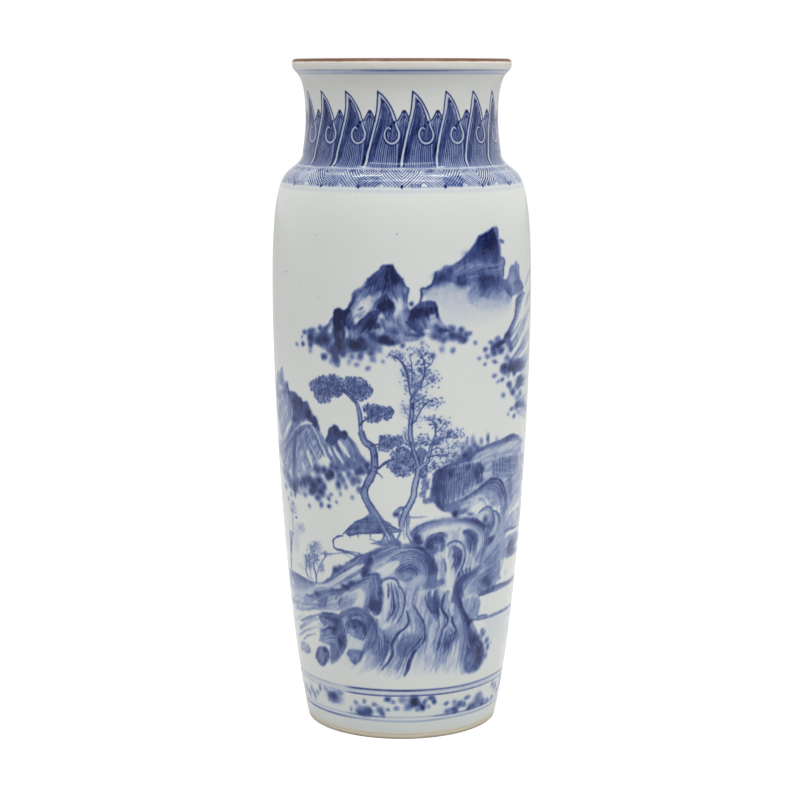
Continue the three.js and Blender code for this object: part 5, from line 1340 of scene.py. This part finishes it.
# The landscape of the front, painted from the back forward, and the same country gone on with
# round the far side: rows of (turn, rise, motif). The trees and the hut come after the land is dry.
land = ((0, 0, tallPeak), (0, 0, middlePeak), (0, 0, rightCliff), (0, 0, leftMountain),
    (0, 0, hatchedHill), (0, 0, leftShore), (0, 0, curledRocks), (0, 0, frontRocks),
    (182, -14, middlePeak), (166, -22, tallPeak), (197, 4, leftMountain), (168, -6, hatchedHill),
    (176, 0, leftShore), (146, 2, curledRocks), (160, 0, frontRocks))
growth = ((0, 0, hut), (0, 0, leftPine), (0, 0, forkedTree), (0, 0, specks), (186, 4, hut),
    (164, -6, leftPine), (158, -14, forkedTree))


# Each motif dries out raggedly at both sides, 72 to 86 degrees from its middle.
def paintEach(rows):
    ragged = 24 * (noise(upLength / 5, roundAngle / 12, 73) - 0.5)
    for turn, rise, paint in rows:
        motif["turn"], motif["rise"] = turn, rise
        motif["takes"] = 1 - ramp(np.abs((angles[None, :] - turn + 180) % 360 - 180) + ragged, 72, 86)
        paint()
    motif["turn"], motif["rise"], motif["takes"] = 0.0, 0.0, np.ones(ink.shape)


# The land is painted first and bleeds most, the trees and the hut go over it, the borders come last.
paintEach(land)
bleed(0.5, 2)
paintEach(growth)
bleed(0.35, 1)
print("landscape painted")
motif["waver"] = 0.3
paintLip()
paintLappets()
paintShoulder()
motif["waver"] = 1.0
paintFoot()
gather()
print("borders painted")


# A new node material with its Principled shader, and short ways to add and join nodes.
class Nodes:
    def __init__(self, name):
        self.material = bpy.data.materials.new(name)
        self.material.use_nodes = True
        self.tree = self.material.node_tree
        self.shader = self.tree.nodes["Principled BSDF"]

    def add(self, kind, values=None, **settings):
        node = self.tree.nodes.new(kind)
        for key, value in settings.items():
            setattr(node, key, value)
        for key, value in (values or {}).items():
            node.inputs[key].default_value = value
        return node

    def join(self, source, target):
        self.tree.links.new(source, target)

    # a sum, product or other step of two values, each a number or a socket
    def math(self, operation, a, b):
        node = self.tree.nodes.new("ShaderNodeMath")
        node.operation = operation
        for socket, value in zip(node.inputs, (a, b)):
            if isinstance(value, (int, float)):
                socket.default_value = value
            else:
                self.join(value, socket)
        return node.outputs[0]

    # a colour ramp over stops of (position, colour)
    def tones(self, source, stops):
        node = self.tree.nodes.new("ShaderNodeValToRGB")
        ends = node.color_ramp.elements
        ends[0].position, ends[0].color = stops[0][0], (*stops[0][1], 1)
        ends[1].position, ends[1].color = stops[-1][0], (*stops[-1][1], 1)
        for position, colour in stops[1:-1]:
            ends.new(position).color = (*colour, 1)
        self.join(source, node.inputs["Fac"])
        return node.outputs["Color"]

    def noise(self, scale, detail=2.0, roughness=0.5):
        place = self.add("ShaderNodeTexCoord")
        node = self.add("ShaderNodeTexNoise", {"Scale": scale, "Detail": detail, "Roughness": roughness})
        self.join(place.outputs["Object"], node.inputs["Vector"])
        return node.outputs["Fac"]

    def height(self):
        place = self.add("ShaderNodeTexCoord")
        split = self.add("ShaderNodeSeparateXYZ")
        self.join(place.outputs["Object"], split.inputs[0])
        return split.outputs["Z"]

    def bump(self, source, strength, distance):
        node = self.add("ShaderNodeBump", {"Strength": strength, "Distance": distance})
        self.join(source, node.inputs["Height"])
        self.join(node.outputs["Normal"], self.shader.inputs["Normal"])


glazeLook = {
    "cobalt": ((0.0, (0.62, 0.64, 0.61)), (0.15, (0.485, 0.527, 0.578)), (0.35, (0.25, 0.305, 0.455)),
               (0.55, (0.108, 0.150, 0.31)), (0.75, (0.035, 0.056, 0.185)), (1.0, (0.002, 0.007, 0.055))),
    "height": 0.45, "roughness": 0.07, "grain": 0.3, "ior": 1.4,
    "waves": (45.0, 0.08, 0.0006),
    # tints of the glaze by share of the height: a warm foot edge, a neck that greys towards the lip,
    # partly the glaze's own tone and partly painted shade under the flared lip, and a pale lip
    "tintsAndNeckShade": ((0.0, (1.0, 0.93, 0.82)), (0.0105, (1.0, 0.95, 0.87)), (0.0135, (0.95, 0.98, 1.0)),
              (0.067, (1.0, 1.0, 1.0)), (0.45, (1.0, 1.0, 1.0)), (0.6, (0.955, 0.955, 0.965)),
              (0.7, (0.965, 0.965, 0.975)), (0.79, (1.0, 1.0, 1.0)), (0.84, (1.0, 1.0, 1.0)),
              (0.87, (0.95, 0.925, 0.935)), (0.945, (0.93, 0.91, 0.92)), (0.965, (0.87, 0.86, 0.865)),
              (0.978, (0.87, 0.86, 0.865)), (0.99, (0.98, 0.93, 0.91))),
}


# Clear glaze over porcelain painted in cobalt: the pigment attribute runs through a ramp from bare
# glaze to near black blue, with grain in the pigment, faint waves in the glaze (scale, strength,
# distance) and tints that change with height, among them painted shade on the neck under the lip.
def glazeMaterial():
    n = Nodes("painted_glaze")
    pigment = n.add("ShaderNodeAttribute", attribute_name="pigment").outputs["Fac"]
    vary = n.math("MULTIPLY_ADD", n.noise(900.0, 3.0), glazeLook["grain"])
    vary.node.inputs[2].default_value = 1 - glazeLook["grain"] / 2
    colour = n.tones(n.math("MULTIPLY", pigment, vary), glazeLook["cobalt"])
    # the tint greys the neck most just under the lip: painted shade, partly the glaze's own grey
    tintAndNeckShade = n.tones(n.math("DIVIDE", n.height(), glazeLook["height"]), glazeLook["tintsAndNeckShade"])
    mixed = n.add("ShaderNodeMix", data_type="RGBA", blend_type="MULTIPLY")
    mixed.inputs["Factor"].default_value = 1.0
    n.join(colour, mixed.inputs["A"])
    n.join(tintAndNeckShade, mixed.inputs["B"])
    n.join(mixed.outputs["Result"], n.shader.inputs["Base Color"])
    scale, strength, distance = glazeLook["waves"]
    n.bump(n.noise(scale), strength, distance)
    n.shader.inputs["Roughness"].default_value = glazeLook["roughness"]
    n.shader.inputs["IOR"].default_value = glazeLook["ior"]
    return n.material


# Bare fired clay, mottled, with fine grain; stops are (share of the noise, colour).
def clayMaterial(name, stops):
    n = Nodes(name)
    n.join(n.tones(n.noise(90.0, 6.0, 0.7), stops), n.shader.inputs["Base Color"])
    n.bump(n.noise(1400.0, 3.0), 0.35, 0.0004)
    n.shader.inputs["Roughness"].default_value = 0.8
    return n.material


# Clay or glaze whose colour changes with height in metres, its borders wandering by waver.
def bandedMaterial(name, bottom, top, stops, waver, roughness):
    n = Nodes(name)
    wander = n.math("MULTIPLY", n.math("SUBTRACT", n.noise(60.0, 4.0, 0.65), 0.5), waver)
    place = n.add("ShaderNodeMapRange", {"From Min": bottom, "From Max": top})
    n.join(n.math("ADD", n.height(), wander), place.inputs["Value"])
    n.join(n.tones(place.outputs["Result"], stops), n.shader.inputs["Base Color"])
    n.bump(n.noise(1400.0, 3.0), 0.2, 0.0003)
    n.shader.inputs["Roughness"].default_value = roughness
    return n.material


glaze = glazeMaterial()
biscuit = clayMaterial("biscuit", ((0.35, (0.36, 0.29, 0.20)), (0.7, (0.50, 0.42, 0.32))))
slipClay = clayMaterial("slip_clay", ((0.35, (0.42, 0.36, 0.27)), (0.7, (0.55, 0.48, 0.38))))
footClay = bandedMaterial("foot_clay", 0.0, 0.006, (
    (0.0, (0.30, 0.25, 0.18)), (0.12, (0.40, 0.34, 0.25)), (0.3, (0.62, 0.56, 0.44)),
    (0.5, (0.66, 0.61, 0.50)), (0.62, (0.58, 0.48, 0.34)), (0.75, (0.50, 0.34, 0.20)),
    (1.0, (0.46, 0.30, 0.17))), 0.0012, 0.75)
rimBrown = bandedMaterial("rim_brown", 0.447, 0.450, (
    (0.0, (0.72, 0.69, 0.65)), (0.2, (0.70, 0.66, 0.61)), (0.34, (0.46, 0.32, 0.22)),
    (0.46, (0.17, 0.075, 0.035)), (0.8, (0.11, 0.045, 0.02)), (1.0, (0.15, 0.07, 0.035))), 0.0009, 0.5)


# A grid of points (rows, columns, 3) in metres as a mesh of quads, joined round where closed is True.
# A row that has shrunk to a point is merged into one vertex.
def gridPiece(name, grid, normals, closed, material, pigment=None, node=None):
    rows, columns = grid.shape[:2]
    index = np.arange(rows * columns).reshape(rows, columns)
    if closed:
        index = np.c_[index, index[:, :1]]
    quads = np.stack([index[:-1, :-1], index[:-1, 1:], index[1:, 1:], index[1:, :-1]], -1).reshape(-1, 4)
    mesh = bpy.data.meshes.new(name)
    mesh.vertices.add(rows * columns)
    mesh.vertices.foreach_set("co", grid.reshape(-1).astype(np.float32))
    mesh.loops.add(quads.size)
    mesh.loops.foreach_set("vertex_index", quads.reshape(-1).astype(np.int32))
    mesh.polygons.add(len(quads))
    mesh.polygons.foreach_set("loop_start", np.arange(0, quads.size, 4, dtype=np.int32))
    mesh.update(calc_edges=True)
    mesh.polygons.foreach_set("use_smooth", np.ones(len(quads), bool))
    if pigment is not None:
        layer = mesh.attributes.new("pigment", "FLOAT", "POINT")
        layer.data.foreach_set("value", pigment.reshape(-1).astype(np.float32))
    u = np.linspace(0, 1, index.shape[1])
    v = np.linspace(0, 1, rows)
    spots = np.stack(np.broadcast_arrays(u[None, :], v[:, None]), -1)
    corners = np.stack([spots[:-1, :-1], spots[:-1, 1:], spots[1:, 1:], spots[1:, :-1]], 2)
    mesh.uv_layers.new(name="OFBake").data.foreach_set("uv", corners.reshape(-1).astype(np.float32))
    if normals is not None:
        mesh.normals_split_custom_set_from_vertices(normals.reshape(-1, 3).tolist())
    else:
        work = bmesh.new()
        work.from_mesh(mesh)
        bmesh.ops.remove_doubles(work, verts=work.verts, dist=1e-6)
        work.to_mesh(mesh)
        work.free()
    mesh.materials.append(material)
    piece = bpy.data.objects.new(name, mesh)
    bpy.context.collection.objects.link(piece)
    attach(piece, "root")
    if node:
        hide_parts(*node)
    return piece


# Points of a profile turned round +Z: x = r sin a, y = -r cos a, so angle 0 faces -Y.
def turned(profile, turnAngles):
    a = np.radians(turnAngles)[None, :]
    r, z = profile[:, 0][:, None], profile[:, 1][:, None]
    return np.stack(np.broadcast_arrays(r * np.sin(a), -r * np.cos(a), z), -1) * mm


# Outward normals of a turned profile: the profile's tangent turned a quarter round.
def turnedNormals(profile, turnAngles):
    d = np.gradient(profile, axis=0)
    n = np.c_[d[:, 1], -d[:, 0]] / np.hypot(*d.T)[:, None]
    a = np.radians(turnAngles)[None, :]
    out = np.broadcast_arrays(n[:, :1] * np.sin(a), -n[:, :1] * np.cos(a), n[:, 1:])
    return np.stack(out, -1)


# A turned piece from a profile listed so that its outside is on the right of the way along it.
def turnedPiece(name, profile, material, node):
    sides = 256
    grid = turned(np.array(profile, float), np.linspace(-180, 180, sides, endpoint=False))
    return gridPiece(name, grid, None, True, material, None, node)


# The painted glaze, cut into panels that share their edges.
panels = {"columns": 5, "rows": 2}
surfaceProfile = np.c_[radii, heights]
allAngles = np.r_[angles, angles[0] + 360]
surface = turned(surfaceProfile, allAngles)
surfaceNormals = turnedNormals(surfaceProfile, allAngles)
pigment = np.c_[ink, ink[:, :1]]
columnCuts = np.linspace(0, len(allAngles) - 1, panels["columns"] + 1).round().astype(int)
rowCuts = np.linspace(0, rowCount - 1, panels["rows"] + 1).round().astype(int)
for i in range(panels["columns"]):
    for j in range(panels["rows"]):
        rows = slice(rowCuts[j], rowCuts[j + 1] + 1)
        columns = slice(columnCuts[i], columnCuts[i + 1] + 1)
        name = "outer_glaze_%d_%d" % (i + 1, j + 1)
        gridPiece(name, surface[rows, columns], surfaceNormals[rows, columns], False, glaze,
            pigment[rows, columns], ["outer_glaze"])
print("glaze panels made")

lipMiddle = form["lip"] - form["lipThickness"] / 2
v = np.radians(np.linspace(0, 180, 25))
lipRadii = lipMiddle + form["lipThickness"] / 2 * np.cos(v)
lipArc = np.c_[lipRadii, form["lipBase"] + form["lipRise"] * np.sin(v)]
turnedPiece("rim", lipArc, rimBrown, ["rim_dressing"])
# the inner glaze stands a little proud of the clay, on every third point of its profile
innerWall = (inside[::-1] - [form["innerInset"], 0])[::3]
innerLine = np.vstack([innerWall, inside[:1], [[30, form["floor"]], [0, form["floor"]]]])
turnedPiece("inner_glaze_coat", innerLine, glaze, ["inner_glaze"])
baseLine = [(r, form["recess"]) for r in (0, 30, form["recessRadius"])]
turnedPiece("base_glaze_coat", baseLine, glaze, ["base_glaze"])
ringLine = [(54.5, 4.9), (55.2, 4.4), (56.2, 1.0), (56.6, 0.2), (57.1, 0.0), (63.6, 0.0), (64.4, 0.15),
            (64.8, 0.5), (65.2, 2.0), (65.4, 3.2), (65.6, 4.1), (65.6, 5.5), (54.8, 5.6), (54.5, 4.9)]
turnedPiece("foot_ring", ringLine, footClay, ["lower_body"])
for name, material in (("upper_body", biscuit), ("neck", biscuit), ("body_luting_slip", slipClay),
                       ("neck_luting_slip", slipClay)):
    part = bpy.data.objects.get(name)
    if part:
        part.data.materials.clear()
        part.data.materials.append(material)
print("pieces turned")

# Light, floor and camera: lamps as (place, size, power), those that no reflection shows, the point
# they look at, world strengths, the floor's colours, and the camera's lens, place and downward tilt.
studio = {
    "lamps": {"top": ((0.15, -0.35, 1.75), (1.6, 1.4), 2.0), "key": ((1.5, -0.9, 0.9), (0.7, 1.3), 9.6),
              "left": ((-1.5, -1.0, 0.8), (0.6, 1.2), 5.6), "over": ((0.0, 0.1, 1.75), (1.3, 0.16), 7.0),
              "strip": ((0.0, -0.66, 1.75), (1.6, 0.3), 9.0)},
    "unreflected": ("key", "left"), "aim": (0, 0, 0.24),
    "lens": 90.2, "sensor": 36, "camera": (-0.0012, -1.354, 0.440), "tilt": 9.237,
    "diffuse": 0.62, "front": 0.06, "back": 0.85, "floor": 0.96, "bounce": 0.65, "lift": 0.45,
}

floorMesh = bpy.data.meshes.new("floor")
floorMesh.from_pydata([(-30, -30, 0), (30, -30, 0), (30, 60, 0), (-30, 60, 0)], [], [(0, 1, 2, 3)])
floorPiece = bpy.data.objects.new("floor", floorMesh)
bpy.context.collection.objects.link(floorPiece)
# white where the camera or a reflection sees it, and a little lifted there; greyer as a bouncing surface
n = Nodes("floor_white")
path = n.add("ShaderNodeLightPath")
straight = n.math("MAXIMUM", path.outputs["Is Camera Ray"], path.outputs["Is Transmission Ray"])
seen = n.math("MAXIMUM", straight, path.outputs["Is Glossy Ray"])
shade = n.add("ShaderNodeMapRange", {"To Min": studio["bounce"], "To Max": studio["floor"]})
n.join(seen, shade.inputs["Value"])
n.join(shade.outputs["Result"], n.shader.inputs["Base Color"])
n.shader.inputs["Emission Color"].default_value = (1, 1, 1, 1)
n.join(n.math("MULTIPLY", straight, studio["lift"]), n.shader.inputs["Emission Strength"])
n.shader.inputs["Roughness"].default_value = 0.9
n.shader.inputs["Specular IOR Level"].default_value = 0.0
floorMesh.materials.append(n.material)

# The world is white to the camera. A reflection sees it white behind the vase and dim behind the
# camera, as in a room lit round a white sweep; as light it has one plain strength.
world = bpy.data.worlds.new("studio")
bpy.context.scene.world = world
world.use_nodes = True
tree = world.node_tree
back = tree.nodes["Background"]
back.inputs["Color"].default_value = (1, 1, 1, 1)
path = tree.nodes.new("ShaderNodeLightPath")
way = tree.nodes.new("ShaderNodeTexCoord")
split = tree.nodes.new("ShaderNodeSeparateXYZ")
tree.links.new(way.outputs["Generated"], split.inputs[0])
room = tree.nodes.new("ShaderNodeMapRange")
for key, value in (("From Min", -0.3), ("From Max", 0.35), ("To Min", studio["front"]),
        ("To Max", studio["back"])):
    room.inputs[key].default_value = value
tree.links.new(split.outputs["Y"], room.inputs["Value"])
strength = studio["diffuse"]
for ray, value in (("Is Glossy Ray", room.outputs["Result"]), ("Is Transmission Ray", 1.0),
        ("Is Camera Ray", 1.0)):
    mix = tree.nodes.new("ShaderNodeMix")
    tree.links.new(path.outputs[ray], mix.inputs["Factor"])
    for socket, part in (("A", strength), ("B", value)):
        if isinstance(part, float):
            mix.inputs[socket].default_value = part
        else:
            tree.links.new(part, mix.inputs[socket])
    strength = mix.outputs["Result"]
tree.links.new(strength, back.inputs["Strength"])

for name, (place, size, power) in studio["lamps"].items():
    data = bpy.data.lights.new(name, "AREA")
    data.shape = "RECTANGLE"
    data.size, data.size_y = size
    data.energy = power
    lamp = bpy.data.objects.new(name, data)
    bpy.context.collection.objects.link(lamp)
    lamp.location = place
    lamp.visible_glossy = name not in studio["unreflected"]
    lamp.rotation_euler = (Vector(studio["aim"]) - Vector(place)).to_track_quat("-Z", "Y").to_euler()

cameraData = bpy.data.cameras.new("camera")
cameraData.lens = studio["lens"]
cameraData.sensor_width = studio["sensor"]
camera = bpy.data.objects.new("camera", cameraData)
bpy.context.collection.objects.link(camera)
camera.location = studio["camera"]
camera.rotation_euler = (math.radians(90 - studio["tilt"]), 0, 0)
bpy.context.scene.camera = camera
bpy.context.scene.view_settings.view_transform = "Standard"
